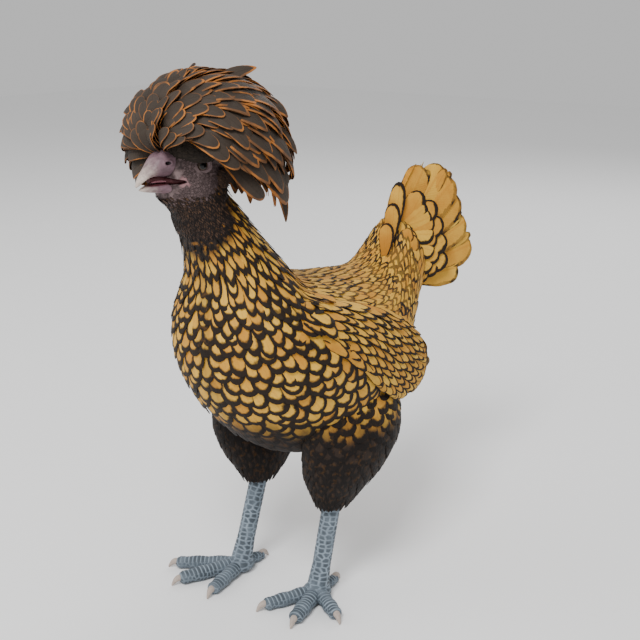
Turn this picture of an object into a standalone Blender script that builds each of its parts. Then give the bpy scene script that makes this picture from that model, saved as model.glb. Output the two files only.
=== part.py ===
"""Crested hen of the Polish breed, gold laced, standing, at life size.

Metres, +Z up. The bird faces -Y and its left side is +X. Shapes are written about a
point on the floor midway between the ankles, and the whole bird then hangs under one
empty that brings the middle of its outline over the origin.
"""
import math
import random

import bmesh
import bpy
from mathutils import Vector

# Clearances and facets
GAP = 0.0003                # clearance kept between neighbouring pieces
CLEAR = 0.00042             # how far a neighbour is grown before it is cut away
BODY_SIDES = 28             # points round the torso
NECK_SIDES = 24
HEAD_SIDES = 24
FULLNESS = 0.10             # how much wider the body is below its middle
FLAT_ANGLE = 0.02           # faces that bend less than this are joined after a union
SEED = 11                   # of the small differences between feathers

# Body sections from the face to the root of the tail. Each gives the underside point
# (y, z), the upper point (y, z) and the half width, all on the outside of the plumage.
BODY = [
    (-0.1085, 0.3260, -0.1005, 0.3655, 0.0125),
    (-0.1040, 0.3235, -0.0960, 0.3690, 0.0150),
    (-0.1000, 0.3205, -0.0890, 0.3730, 0.0172),
    (-0.0960, 0.3168, -0.0800, 0.3750, 0.0190),
    (-0.0928, 0.3132, -0.0690, 0.3720, 0.0200),
    (-0.0908, 0.3098, -0.0590, 0.3610, 0.0204),
    (-0.0894, 0.3074, -0.0555, 0.3460, 0.0212),
    (-0.0878, 0.3040, -0.0530, 0.3310, 0.0228),
    (-0.0806, 0.2922, -0.0430, 0.3180, 0.0262),
    (-0.0738, 0.2755, -0.0325, 0.3055, 0.0305),
    (-0.0704, 0.2588, -0.0210, 0.2925, 0.0355),
    (-0.0725, 0.2400, -0.0080, 0.2775, 0.0450),
    (-0.0735, 0.2160, 0.0040, 0.2630, 0.0560),
    (-0.0690, 0.1900, 0.0240, 0.2560, 0.0640),
    (-0.0570, 0.1650, 0.0440, 0.2515, 0.0690),
    (-0.0380, 0.1420, 0.0640, 0.2485, 0.0705),
    (-0.0110, 0.1210, 0.0860, 0.2460, 0.0700),
    (0.0230, 0.1110, 0.1070, 0.2440, 0.0645),
    (0.0600, 0.1160, 0.1220, 0.2450, 0.0560),
    (0.0970, 0.1310, 0.1340, 0.2490, 0.0475),
    (0.1300, 0.1540, 0.1430, 0.2570, 0.0400),
    (0.1570, 0.1800, 0.1500, 0.2675, 0.0330),
    (0.1730, 0.2060, 0.1550, 0.2770, 0.0255),
]
HEAD_END = 7.0              # section where the head meets the neck
NECK_END = 11.0             # section where the neck meets the torso
BODY_END = 22.0             # section where the torso meets the tail

# Beak sections: upper (y, z), lower (y, z), half width
BEAK_UPPER = [
    (-0.1015, 0.3615, -0.1050, 0.3420, 0.0098),
    (-0.1075, 0.3605, -0.1100, 0.3428, 0.0088),
    (-0.1130, 0.3565, -0.1155, 0.3432, 0.0072),
    (-0.1180, 0.3510, -0.1205, 0.3425, 0.0056),
    (-0.1235, 0.3465, -0.1250, 0.3405, 0.0038),
    (-0.1275, 0.3430, -0.1272, 0.3388, 0.0020),
    (-0.1299, 0.3388, -0.1291, 0.3380, 0.0006),
]
BEAK_LOWER = [
    (-0.1058, 0.3384, -0.1074, 0.3316, 0.0088),
    (-0.1110, 0.3388, -0.1116, 0.3324, 0.0074),
    (-0.1165, 0.3388, -0.1170, 0.3332, 0.0056),
    (-0.1220, 0.3378, -0.1220, 0.3342, 0.0036),
    (-0.1264, 0.3364, -0.1262, 0.3354, 0.0010),
]
TONGUE = [
    (-0.0960, 0.3390, -0.0960, 0.3375, 0.0036),
    (-0.1040, 0.3404, -0.1040, 0.3381, 0.0042),
    (-0.1110, 0.3412, -0.1110, 0.3391, 0.0036),
    (-0.1170, 0.3408, -0.1170, 0.3393, 0.0016),
]
MOUTH = [(-0.1150, 0.3426), (-0.1150, 0.3382), (-0.0957, 0.3370), (-0.0957, 0.3396)]
NOSTRIL_AT = Vector((0.0078, -0.1082, 0.3508))
NOSTRIL_RIM = Vector((0.0016, 0.0034, 0.0021))
NOSTRIL_HOLE = Vector((0.0018, 0.0020, 0.0010))

EYE_AT = Vector((0.0140, -0.0853, 0.3487))
EYE_RADIUS = 0.0052
LID_THICK = 0.0011
LID_WINDOW = Vector((0.0055, 0.0048, 0.0042))
EYE_ROOM = 0.0085           # radius round each eye that the crest leaves open
EAR_AT = Vector((0.0200, -0.0716, 0.3392))
EAR_HALF = Vector((0.0022, 0.0046, 0.0058))

# Crest: an oval of feather tips that hangs lower at the back, combed back from the
# parting above the beak over a core half as large and a brow over the forehead
CREST_AT = Vector((0.0, -0.0655, 0.3640))
CREST_HALF = Vector((0.0580, 0.0550, 0.0465))
CREST_PART = Vector((0.0, -0.9950, -0.1000))    # way from the middle to the parting
CREST_FALL = Vector((0.0, 0.3500, -0.9370))     # way in which the long feathers hang
CREST_FALL_REACH = 0.62
CREST_CORE = 0.50
BROW_AT = Vector((0.0, -0.0830, 0.3640))
BROW_HALF = Vector((0.0245, 0.0250, 0.0165))
CREST_FLOOR = [(-0.16, 0.3632), (-0.099, 0.3632), (-0.092, 0.3560), (-0.070, 0.3530),
               (-0.048, 0.3320), (-0.030, 0.2990), (0.06, 0.2750), (0.06, 0.2), (-0.16, 0.2)]
FACE_LINE = [(-0.16, 0.3632), (-0.099, 0.3632), (-0.092, 0.3560), (-0.072, 0.3520),
             (-0.060, 0.3400), (-0.052, 0.3150), (-0.046, 0.2850), (0.10, 0.2800)]
FAR_FRINGE = 0.0300         # how much lower the crest hangs beside the face on the right
# Tiers: angle of the tips from the parting, feathers either side, spread, how far they
# sag round, length, half width
CREST_TIERS = [
    (24, 3, 100, 0.00, 26, 0.0064),
    (46, 4, 102, 0.00, 40, 0.0084),
    (69, 4, 106, 0.00, 54, 0.0096),
    (93, 5, 106, 0.00, 64, 0.0096),
    (118, 5, 104, 0.05, 72, 0.0086),
    (143, 4, 108, 0.10, 80, 0.0078),
]
# Feathers that hang behind the ear and the neck, in two layers: way round from the left
# side to the back, reach of the tips from the neck, height of the tips, half width
CREST_HANG_AT = Vector((0.0, -0.0580, 0.3560))
CREST_HANG_ROOT = 0.0170
CREST_HANGS = [
    (2, 0.0500, 0.3450, 0.0085),
    (24, 0.0525, 0.3310, 0.0088),
    (46, 0.0520, 0.3190, 0.0088),
    (68, 0.0520, 0.3160, 0.0086),
    (88, 0.0530, 0.3170, 0.0080),
    (13, 0.0440, 0.3260, 0.0080),
    (35, 0.0450, 0.3090, 0.0080),
    (57, 0.0450, 0.2990, 0.0078),
    (79, 0.0460, 0.3010, 0.0072),
]

# Wing sections: upper edge, lower edge, half thickness
WING = [
    (0.0480, -0.0280, 0.2390, 0.0560, -0.0330, 0.2260, 0.0060),
    (0.0500, -0.0070, 0.2450, 0.0620, -0.0150, 0.2140, 0.0100),
    (0.0500, 0.0260, 0.2390, 0.0670, 0.0110, 0.1960, 0.0120),
    (0.0500, 0.0610, 0.2280, 0.0680, 0.0370, 0.1740, 0.0120),
    (0.0480, 0.0960, 0.2140, 0.0650, 0.0660, 0.1545, 0.0115),
    (0.0450, 0.1210, 0.2000, 0.0590, 0.0950, 0.1465, 0.0100),
    (0.0420, 0.1390, 0.1850, 0.0520, 0.1220, 0.1480, 0.0075),
    (0.0400, 0.1440, 0.1690, 0.0460, 0.1370, 0.1580, 0.0040),
]
WING_PAD_INSET = 0.0040     # how far the pad lies below the tips of the feathers
WING_ROOT_DEPTH = 0.0062
# Rows of wing feathers: place of the tips, feathers, lowest and highest, length, half width
WING_ROWS = [
    (1.5, 3, 0.26, 0.74, 1.1, 0.0074),
    (2.5, 4, 0.20, 0.80, 1.3, 0.0082),
    (3.5, 4, 0.18, 0.82, 1.5, 0.0090),
    (4.5, 4, 0.18, 0.82, 1.8, 0.0090),
]
WING_QUILLS = 5
WING_QUILL_HALF = 0.0080
QUILL_TILT = 0.28
WING_TILT = 0.18

# Thigh sections for the left leg: centre, half width, half depth
THIGH = [
    (0.0400, 0.0400, 0.1780, 0.0170, 0.0420),
    (0.0450, 0.0415, 0.1520, 0.0240, 0.0540),
    (0.0480, 0.0390, 0.1260, 0.0280, 0.0525),
    (0.0455, 0.0325, 0.1040, 0.0265, 0.0410),
    (0.0430, 0.0265, 0.0860, 0.0185, 0.0260),
    (0.0420, 0.0210, 0.0720, 0.0112, 0.0135),
]

# Tail feathers of the left side, from the ridge down: root, tip, half width
TAIL = [
    (Vector((0.0030, 0.1620, 0.2680)), Vector((0.0040, 0.2000, 0.3140)), 0.0130),
    (Vector((0.0050, 0.1650, 0.2630)), Vector((0.0100, 0.2220, 0.3130)), 0.0135),
    (Vector((0.0070, 0.1680, 0.2560)), Vector((0.0170, 0.2280, 0.3030)), 0.0140),
    (Vector((0.0085, 0.1700, 0.2480)), Vector((0.0220, 0.2340, 0.2830)), 0.0140),
    (Vector((0.0095, 0.1720, 0.2390)), Vector((0.0260, 0.2380, 0.2620)), 0.0140),
    (Vector((0.0100, 0.1730, 0.2290)), Vector((0.0280, 0.2450, 0.2410)), 0.0135),
    (Vector((0.0100, 0.1730, 0.2190)), Vector((0.0270, 0.2260, 0.2240)), 0.0120),
]
TAIL_COVERTS = [
    (Vector((0.0040, 0.1590, 0.2700)), Vector((0.0050, 0.1650, 0.3010)), 0.0095),
    (Vector((0.0070, 0.1610, 0.2670)), Vector((0.0130, 0.1870, 0.3000)), 0.0100),
    (Vector((0.0100, 0.1640, 0.2610)), Vector((0.0200, 0.2030, 0.2890)), 0.0100),
    (Vector((0.0120, 0.1670, 0.2520)), Vector((0.0250, 0.2100, 0.2730)), 0.0100),
    (Vector((0.0130, 0.1690, 0.2410)), Vector((0.0280, 0.2130, 0.2550)), 0.0100),
    (Vector((0.0125, 0.1700, 0.2290)), Vector((0.0290, 0.2110, 0.2370)), 0.0095),
]
TAIL_STUB = 0.022

VANE_THICK = 0.0010
VANE_TIP_THICK = 0.0007
SHINGLE_TILT = 0.15         # turn of each vane, so that it lies over the next one down

# Leg places for each side: hock end of the shank, ankle, toe tips and hallux tip
LEGS = {
    "left": {
        "side": 1.0,
        "top": Vector((0.0420, 0.0210, 0.0720)),
        "ankle": Vector((0.0405, 0.0050, 0.0130)),
        "toes": [
            ("inner", Vector((0.0205, -0.0365, 0.0)), 0.0060),
            ("middle", Vector((0.0520, -0.0385, 0.0)), 0.0064),
            ("outer", Vector((0.0735, -0.0140, 0.0)), 0.0060),
            ("hallux", Vector((0.0375, 0.0320, 0.0)), 0.0046),
        ],
    },
    "right": {
        "side": -1.0,
        "top": Vector((-0.0368, 0.0255, 0.0720)),
        "ankle": Vector((-0.0360, 0.0005, 0.0130)),
        "toes": [
            ("inner", Vector((-0.0265, -0.0455, 0.0)), 0.0060),
            ("middle", Vector((-0.0590, -0.0485, 0.0)), 0.0064),
            ("outer", Vector((-0.0805, -0.0305, 0.0)), 0.0060),
            ("hallux", Vector((-0.0345, 0.0255, 0.0)), 0.0046),
        ],
    },
}
SHANK_RADIUS = 0.0075
ANKLE_RADIUS = 0.0096
SHANK_SCUTES = 8
TOE_SCUTES = 4
SCUTE_STEP = 0.055          # share of the radius by which each scute stands over the next
TOE_HEIGHT = 0.0050
CLAW_LENGTH = 0.0080
CLAW_RADIUS = 0.0024
CLAW_REST = 0.0003          # height of the middle of a claw's tip, that rests on the floor

COLOURS = {
    "gold": ((0.44, 0.22, 0.05), 0.62),
    "dark_plume": ((0.05, 0.035, 0.03), 0.65),
    "face": ((0.20, 0.14, 0.15), 0.60),
    "crest": ((0.06, 0.045, 0.035), 0.60),
    "horn": ((0.55, 0.48, 0.42), 0.35),
    "eye": ((0.02, 0.02, 0.02), 0.08),
    "tongue": ((0.35, 0.16, 0.17), 0.40),
    "slate": ((0.20, 0.26, 0.30), 0.50),
}


def clear_scene():
    for item in list(bpy.data.objects):
        bpy.data.objects.remove(item, do_unlink=True)


def material(name):
    colour, roughness = COLOURS[name]
    made = bpy.data.materials.new(name)
    made.use_nodes = True
    shader = made.node_tree.nodes["Principled BSDF"]
    shader.inputs["Base Color"].default_value = (*colour, 1.0)
    shader.inputs["Roughness"].default_value = roughness
    shader.inputs["Metallic"].default_value = 0.0
    return made


def spline(rows, place):
    """Value at a place along rows of numbers, smooth through every row."""
    last = len(rows) - 1
    place = min(max(place, 0.0), float(last))
    i = min(int(place), last - 1)
    t = place - i
    before, start = rows[max(i - 1, 0)], rows[i]
    end, after = rows[i + 1], rows[min(i + 2, last)]
    out = []
    for a, b, c, d in zip(before, start, end, after):
        turn = 2 * a - 5 * b + 4 * c - d
        bend = -a + 3 * b - 3 * c + d
        out.append(0.5 * (2 * b + (c - a) * t + turn * t * t + bend * t ** 3))
    return out


def section_ring(low, high, half_width, sides, fullness=0.0):
    """Points round an oval that stands between a lower and an upper point."""
    centre = (low + high) / 2
    up = (high - low) / 2
    ring = []
    for k in range(sides):
        angle = 2 * math.pi * k / sides
        across = half_width * math.sin(angle) * (1 - fullness * math.cos(angle))
        ring.append(centre + up * math.cos(angle) + Vector((across, 0, 0)))
    return ring


def body_ring(place, sides, shift=0.0, grow=0.0):
    """Ring of the body at a section, moved along the body by shift."""
    vy, vz, dy, dz, width = spline(BODY, place)
    low, high = Vector((0, vy, vz)), Vector((0, dy, dz))
    up = (high - low).normalized()
    along = up.cross(Vector((1, 0, 0)))
    low = low + along * shift - up * grow
    high = high + along * shift + up * grow
    return section_ring(low, high, width + grow, sides, FULLNESS)


def clear_of_body(point, margin, first=0.0, last=BODY_END):
    """Push a point out of the body until it stands off by margin."""
    count = int((last - first) * 3)
    for k in range(count + 1):
        vy, vz, dy, dz, width = spline(BODY, first + (last - first) * k / count)
        low, high = Vector((0, vy, vz)), Vector((0, dy, dz))
        centre = (low + high) / 2
        up = (high - low) / 2
        half_up = up.length
        up = up.normalized()
        along = up.cross(Vector((1, 0, 0)))
        offset = point - centre
        if abs(offset.dot(along)) > 0.005:
            continue
        rise = offset.dot(up) / (half_up + margin)
        lean = min(max(rise, -1.0), 1.0)
        side = offset.x / ((width + margin) * (1 - FULLNESS * lean))
        depth = math.hypot(rise, side)
        if 0.05 < depth < 1.0:
            flat = up * offset.dot(up) + Vector((offset.x, 0, 0))
            point = point + flat * (1 / depth - 1)
    return point


def mesh_from_rings(rings, name):
    """Skin a row of rings with quads and close both ends."""
    made = bmesh.new()
    loops = [[made.verts.new(p) for p in ring] for ring in rings]
    for one, two in zip(loops, loops[1:]):
        count = len(one)
        for k in range(count):
            n = (k + 1) % count
            made.faces.new((one[k], one[n], two[n], two[k]))
    made.faces.new(loops[0])
    made.faces.new(loops[-1])
    bmesh.ops.triangulate(made, faces=made.faces[:])
    bmesh.ops.recalc_face_normals(made, faces=made.faces[:])
    mesh = bpy.data.meshes.new(name)
    made.to_mesh(mesh)
    made.free()
    return mesh


def put(mesh, name, collection):
    piece = bpy.data.objects.new(name, mesh)
    collection.objects.link(piece)
    return piece


def vane(name, path, normals, halves, collection):
    """Thin tapered blade along a path, both faces split into triangles alike."""
    made = bmesh.new()
    last = len(path) - 1
    rows = []
    for i, centre in enumerate(path):
        along = (path[min(i + 1, last)] - path[max(i - 1, 0)]).normalized()
        out = (normals[i] - along * normals[i].dot(along)).normalized()
        across = along.cross(out) * halves[i]
        half = (VANE_THICK + (VANE_TIP_THICK - VANE_THICK) * i / last) / 2
        spots = (centre - across + out * half, centre + across + out * half,
                 centre + across - out * half, centre - across - out * half)
        rows.append([made.verts.new(p) for p in spots])
    for one, two in zip(rows, rows[1:]):
        made.faces.new((one[0], one[1], two[1]))
        made.faces.new((one[0], two[1], two[0]))
        made.faces.new((one[3], two[2], one[2]))
        made.faces.new((one[3], two[3], two[2]))
        for a, b in ((1, 2), (3, 0)):
            made.faces.new((one[a], one[b], two[b]))
            made.faces.new((one[a], two[b], two[a]))
    for row in (rows[0], rows[-1]):
        made.faces.new((row[0], row[1], row[2]))
        made.faces.new((row[0], row[2], row[3]))
    bmesh.ops.recalc_face_normals(made, faces=made.faces[:])
    mesh = bpy.data.meshes.new(name)
    made.to_mesh(mesh)
    made.free()
    return put(mesh, name, collection)


def rows_to_rings(rows, sides, steps):
    """Rings of a beak-like form from rows of two points and a half width."""
    rings = []
    count = (len(rows) - 1) * steps
    for k in range(count + 1):
        uy, uz, ly, lz, width = spline(rows, k / steps)
        rings.append(section_ring(Vector((0, ly, lz)), Vector((0, uy, uz)), width, sides))
    return rings


def ball(name, centre, half, collection, rings=8, sides=12):
    made = bmesh.new()
    bmesh.ops.create_uvsphere(made, u_segments=sides, v_segments=rings, radius=1.0)
    bmesh.ops.scale(made, vec=half, verts=made.verts[:])
    bmesh.ops.translate(made, vec=centre, verts=made.verts[:])
    bmesh.ops.triangulate(made, faces=made.faces[:])
    mesh = bpy.data.meshes.new(name)
    made.to_mesh(mesh)
    made.free()
    return put(mesh, name, collection)


def even(size):
    return Vector((size, size, size))


def grown(piece, collection, amount=CLEAR):
    """Copy of a piece, larger by amount all round, to cut its neighbour clear."""
    made = bmesh.new()
    made.from_mesh(piece.data)
    made.normal_update()
    for vert in made.verts:
        vert.co += vert.normal * amount * min(vert.calc_shell_factor(), 2.5)
    mesh = bpy.data.meshes.new(piece.name + "_room")
    made.to_mesh(mesh)
    made.free()
    return put(mesh, mesh.name, collection)


def apply_boolean(piece, others, operation, solver="EXACT"):
    """Join or cut a piece with others, then remove the others."""
    for other in others:
        modifier = piece.modifiers.new("fit", "BOOLEAN")
        modifier.operation = operation
        modifier.solver = solver
        modifier.object = other
        graph = bpy.context.evaluated_depsgraph_get()
        mesh = bpy.data.meshes.new_from_object(piece.evaluated_get(graph))
        piece.modifiers.clear()
        piece.data = mesh
    for other in others:
        bpy.data.objects.remove(other, do_unlink=True)
    keep_largest(piece)


def fuse(piece, collection):
    """Join all of a collection's closed pieces to one piece, then remove them."""
    modifier = piece.modifiers.new("fuse", "BOOLEAN")
    modifier.operation = "UNION"
    modifier.solver = "MANIFOLD"
    modifier.operand_type = "COLLECTION"
    modifier.collection = collection
    graph = bpy.context.evaluated_depsgraph_get()
    mesh = bpy.data.meshes.new_from_object(piece.evaluated_get(graph))
    piece.modifiers.clear()
    piece.data = mesh
    for other in list(collection.objects):
        bpy.data.objects.remove(other, do_unlink=True)
    keep_largest(piece, FLAT_ANGLE)


def keep_largest(piece, flat_angle=0.0):
    """Leave only the piece's largest closed surface, in triangles."""
    made = bmesh.new()
    made.from_mesh(piece.data)
    bmesh.ops.remove_doubles(made, verts=made.verts[:], dist=1e-6)
    if flat_angle:
        bmesh.ops.dissolve_limit(made, angle_limit=flat_angle, verts=made.verts[:],
                                 edges=made.edges[:])
    bmesh.ops.dissolve_degenerate(made, dist=2e-6, edges=made.edges[:])
    bmesh.ops.triangulate(made, faces=made.faces[:])
    seen, islands = set(), []
    for face in made.faces:
        if face in seen:
            continue
        island, stack = [], [face]
        seen.add(face)
        while stack:
            current = stack.pop()
            island.append(current)
            for edge in current.edges:
                for other in edge.link_faces:
                    if other not in seen:
                        seen.add(other)
                        stack.append(other)
        islands.append(island)
    islands.sort(key=lambda group: sum(f.calc_area() for f in group), reverse=True)
    spare = [f for group in islands[1:] for f in group]
    bmesh.ops.delete(made, geom=spare, context="FACES")
    loose = [v for v in made.verts if not v.link_faces]
    bmesh.ops.delete(made, geom=loose, context="VERTS")
    made.to_mesh(piece.data)
    made.free()


def prism(name, outline, half_width, collection):
    """A flat outline in the Y-Z plane, made as thick as twice half_width."""
    made = bmesh.new()
    face = made.faces.new([made.verts.new((-half_width, y, z)) for y, z in outline])
    grown_faces = bmesh.ops.extrude_face_region(made, geom=[face])
    moved = [v for v in grown_faces["geom"] if isinstance(v, bmesh.types.BMVert)]
    bmesh.ops.translate(made, vec=(2 * half_width, 0, 0), verts=moved)
    bmesh.ops.recalc_face_normals(made, faces=made.faces[:])
    mesh = bpy.data.meshes.new(name)
    made.to_mesh(mesh)
    made.free()
    return put(mesh, name, collection)


def body_length(start, end, sides, rings, name, collection, lead=0.0, grow=0.0):
    """One length of the body between two sections."""
    places = [start + (end - start) * k / rings for k in range(rings + 1)]
    loops = [body_ring(p, sides, lead if k == 0 else 0.0, grow) for k, p in enumerate(places)]
    return put(mesh_from_rings(loops, name), name, collection)


def build_body(parts):
    head = body_length(0.0, HEAD_END, HEAD_SIDES, 12, "head", parts)
    neck = body_length(HEAD_END, NECK_END, NECK_SIDES, 6, "neck", parts, GAP)
    torso = body_length(NECK_END, BODY_END, BODY_SIDES, 15, "torso", parts, GAP)
    return head, neck, torso


def mirrored(point, side):
    return Vector((point.x * side, point.y, point.z))


def build_face(head, parts, cutters):
    """Lids, sockets and the slit of the mouth on the head, then eyes, beak and tongue."""
    for side in (1.0, -1.0):
        centre = mirrored(EYE_AT, side)
        lid = ball("lid", centre, even(EYE_RADIUS + LID_THICK), cutters)
        apply_boolean(head, [lid], "UNION")
        window = ball("window", centre + Vector((0.0085 * side, -0.001, 0)), LID_WINDOW, cutters)
        apply_boolean(head, [window], "DIFFERENCE")
        room = ball("socket", centre, even(EYE_RADIUS + GAP), cutters, 8, 14)
        apply_boolean(head, [room], "DIFFERENCE")
        name = "eye_left" if side > 0 else "eye_right"
        ball(name, centre, even(EYE_RADIUS), parts, 8, 14)
    slit = prism("mouth", MOUTH, 0.03, cutters)
    apply_boolean(head, [slit], "DIFFERENCE")
    upper = put(mesh_from_rings(rows_to_rings(BEAK_UPPER, 12, 2), "beak_upper"), "beak_upper", parts)
    lower = put(mesh_from_rings(rows_to_rings(BEAK_LOWER, 12, 2), "beak_lower"), "beak_lower", parts)
    put(mesh_from_rings(rows_to_rings(TONGUE, 8, 2), "tongue"), "tongue", parts)
    for side in (1.0, -1.0):
        centre = mirrored(NOSTRIL_AT, side)
        rim = ball("rim", centre, NOSTRIL_RIM, cutters, 5, 8)
        apply_boolean(upper, [rim], "UNION")
        hole = ball("hole", centre + Vector((0.0014 * side, -0.0002, 0)), NOSTRIL_HOLE, cutters, 5, 8)
        apply_boolean(upper, [hole], "DIFFERENCE")
    for beak in (upper, lower):
        apply_boolean(beak, [grown(head, cutters)], "DIFFERENCE")


def build_ears(head, parts, cutters):
    for side, name in ((1.0, "ear_left"), (-1.0, "ear_right")):
        ear = ball(name, mirrored(EAR_AT, side), EAR_HALF, parts, 8, 10)
        apply_boolean(ear, [grown(head, cutters)], "DIFFERENCE")


def crest_reach(way):
    """Distance from the middle of the crest to the tips, in the direction way."""
    a, b, c = CREST_HALF
    oval = 1 / math.sqrt((way.x / a) ** 2 + (way.y / b) ** 2 + (way.z / c) ** 2)
    fall = max(0.0, way.dot(CREST_FALL))
    return oval * (1 + CREST_FALL_REACH * fall ** 2)


def crest_way(turn, round_angle):
    """Direction from the middle, at an angle from the parting and an angle round it."""
    up = Vector((0, CREST_PART.z, -CREST_PART.y)).normalized()
    ring = up * math.cos(round_angle) + Vector((math.sin(round_angle), 0, 0))
    return CREST_PART.normalized() * math.cos(turn) + ring * math.sin(turn)


def face_line(point):
    """Height of the crest's lower edge over a place on the bird."""
    height = FACE_LINE[0][1]
    for (y0, z0), (y1, z1) in zip(FACE_LINE, FACE_LINE[1:]):
        if y0 <= point.y <= y1:
            height = z0 + (z1 - z0) * (point.y - y0) / (y1 - y0)
    front = min(max((-0.050 - point.y) / 0.02, 0.0), 1.0)
    if point.x < -0.022:
        return height - FAR_FRINGE * front
    return height + 0.24 * max(0.0, abs(point.x) - 0.022) * front


def crest_vane(tip_turn, round_angle, sag, length, half, spacing, tip_change, collection):
    """One crest feather from the core to its tip, or nothing where it would hide the face."""
    shape = (0.5, 0.85, 1.0, 0.9, 0.36) if tip_turn > 0.9 else (0.6, 1.0, 0.9, 0.4)
    steps = len(shape) - 1
    path, normals, halves = [], [], []
    inner = 0.42 + 0.26 * max(0.0, 1 - tip_turn / 1.0)
    for k in range(steps + 1):
        s = k / steps
        turn = max(tip_turn - length * (1 - s) + tip_change * s ** 4, 0.06)
        around = round_angle * (1 - sag * (1 - s) ** 1.5)
        way = crest_way(turn, around)
        rise = inner + (1 - inner) * (1 - (1 - s) ** 2.3)
        point = CREST_AT + way * crest_reach(way) * rise
        if s > 0.3:
            point = clear_of_body(point, 0.0020, 2.0, 14.0)
        if s > 0.4 and point.z < face_line(point) + 0.0014:
            return None
        path.append(point)
        toward_top = crest_way(turn, around * 0.9) - way
        lean = toward_top.normalized() if toward_top.length > 1e-5 else Vector((0, 0, 0))
        normals.append(way + lean * math.tan(SHINGLE_TILT))
        room = spacing * (1 - sag * (1 - s)) * math.sin(turn) * crest_reach(way) * rise
        overlap = 0.70 if room * math.tan(SHINGLE_TILT) > 0.0014 else 0.40
        halves.append(max(min(half * shape[k], room * overlap), 0.0007))
    return vane("crest_feather", path, normals, halves, collection)


def crest_hang(round_angle, reach, height, half, side, collection):
    """One long pointed feather hanging from the core behind the head."""
    out = Vector((math.cos(round_angle) * side, math.sin(round_angle), 0))
    root = CREST_HANG_AT + out * CREST_HANG_ROOT
    tip = Vector((CREST_HANG_AT.x, CREST_HANG_AT.y, height)) + out * reach
    path, normals = [], []
    shape = (0.6, 0.95, 1.0, 0.78, 0.22)
    steps = len(shape) - 1
    for k in range(steps + 1):
        s = k / steps
        run = math.sin(s * math.pi / 2)
        drop = 1 - math.cos(s * math.pi / 2)
        spot = root.lerp(tip, run)
        point = Vector((spot.x, spot.y, root.z + (height - root.z) * drop))
        path.append(clear_of_body(point, 0.0022, 3.0, 14.0) if s > 0.3 else point)
        normals.append(out * (1 - drop * 0.2) + Vector((0, 0, 1.0 - drop * 0.6)))
    return vane("crest_hang", path, normals, [half * share for share in shape], collection)


def build_crest(parts, cutters):
    """Feathers combed back from the parting in tiers, rooted in a core half as large."""
    draw = random.Random(SEED)
    crest = ball("crest", CREST_AT, CREST_HALF * CREST_CORE, parts, 8, 14)
    apply_boolean(crest, [ball("brow", BROW_AT, BROW_HALF, cutters, 8, 12)], "UNION")
    apply_boolean(crest, [prism("crest_floor", CREST_FLOOR, 0.1, cutters)], "DIFFERENCE")
    feathers = bpy.data.collections.new("crest_feathers")
    bpy.context.scene.collection.children.link(feathers)
    for tier, (tip, count, spread, sag, length, half) in enumerate(CREST_TIERS):
        spacing = math.radians(spread) / (count + 0.5)
        for k in range(-count, count + 1):
            place = (k + 0.5 * (tier % 2) + draw.uniform(-0.05, 0.05)) * spacing
            width = half * draw.uniform(0.94, 1.05)
            change = math.radians(draw.uniform(-3.5, 3.5))
            crest_vane(math.radians(tip), place, sag, math.radians(length), width, spacing, change,
                       feathers)
    for round_angle, reach, height, half in CREST_HANGS:
        for side in (1.0, -1.0):
            crest_hang(math.radians(round_angle + draw.uniform(-2, 2)), reach, height, half, side,
                       feathers)
    fuse(crest, feathers)
    bpy.data.collections.remove(feathers)
    rooms = [body_length(0.0, HEAD_END + 5, 14, 24, "skull", cutters, 0.0, 0.0010)]
    for side in (1.0, -1.0):
        rooms.append(ball("view", mirrored(EYE_AT, side), even(EYE_ROOM), cutters))
        rooms.append(ball("ear_room", mirrored(EAR_AT, side), EAR_HALF * 1.25, cutters))
    apply_boolean(crest, rooms, "DIFFERENCE")
    return crest


def wing_section(u, side):
    """Lower edge, upper edge and half thickness of the wing at a place along it."""
    ux, uy, uz, lx, ly, lz, thick = spline(WING, u)
    return Vector((lx * side, ly, lz)), Vector((ux * side, uy, uz)), thick


def wing_point(u, v, side, depth=0.0):
    """Point on the outer face of the wing, along it by u and up it by v."""
    low, high, thick = wing_section(u, side)
    bulge = math.sqrt(max(0.0, 1 - (2 * v - 1) ** 2))
    return low.lerp(high, v) + Vector(((thick * bulge + depth) * side, 0, 0))


def wing_vane(u_tip, v_tip, v_root, length, half, side, shape, lift, tilt, change, collection):
    steps = len(shape) - 1
    path, normals, halves = [], [], []
    for k in range(steps + 1):
        s = k / steps
        u = u_tip - length * (1 - s) + change * s ** 3
        v = v_root + (v_tip - v_root) * s
        depth = -WING_ROOT_DEPTH * (1 - s) + lift * s
        point = wing_point(u, v, side, depth)
        if s > 0.2:
            point = clear_of_body(point, 0.0022, 10.0, BODY_END)
        path.append(point)
        above = wing_point(u, min(v + 0.1, 1.0), side) - wing_point(u, max(v - 0.1, 0.0), side)
        forward = wing_point(u + 0.2, v, side) - wing_point(u - 0.2, v, side)
        out = forward.cross(above) * side
        normals.append(out.normalized() + above.normalized() * math.tan(tilt))
        halves.append(half * shape[k])
    return vane("wing_feather", path, normals, halves, collection)


def wing_form(side, name, collection, inset, sides, steps):
    """The wing as one smooth pad, smaller than its outline by inset."""
    rings = []
    for k in range((len(WING) - 1) * steps + 1):
        low, high, thick = wing_section(k / steps, side)
        up = (high - low).normalized() * inset
        rings.append(section_ring(low + up, high - up, max(thick - inset, 0.0018), sides))
    return put(mesh_from_rings(rings, name), name, collection)


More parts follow.
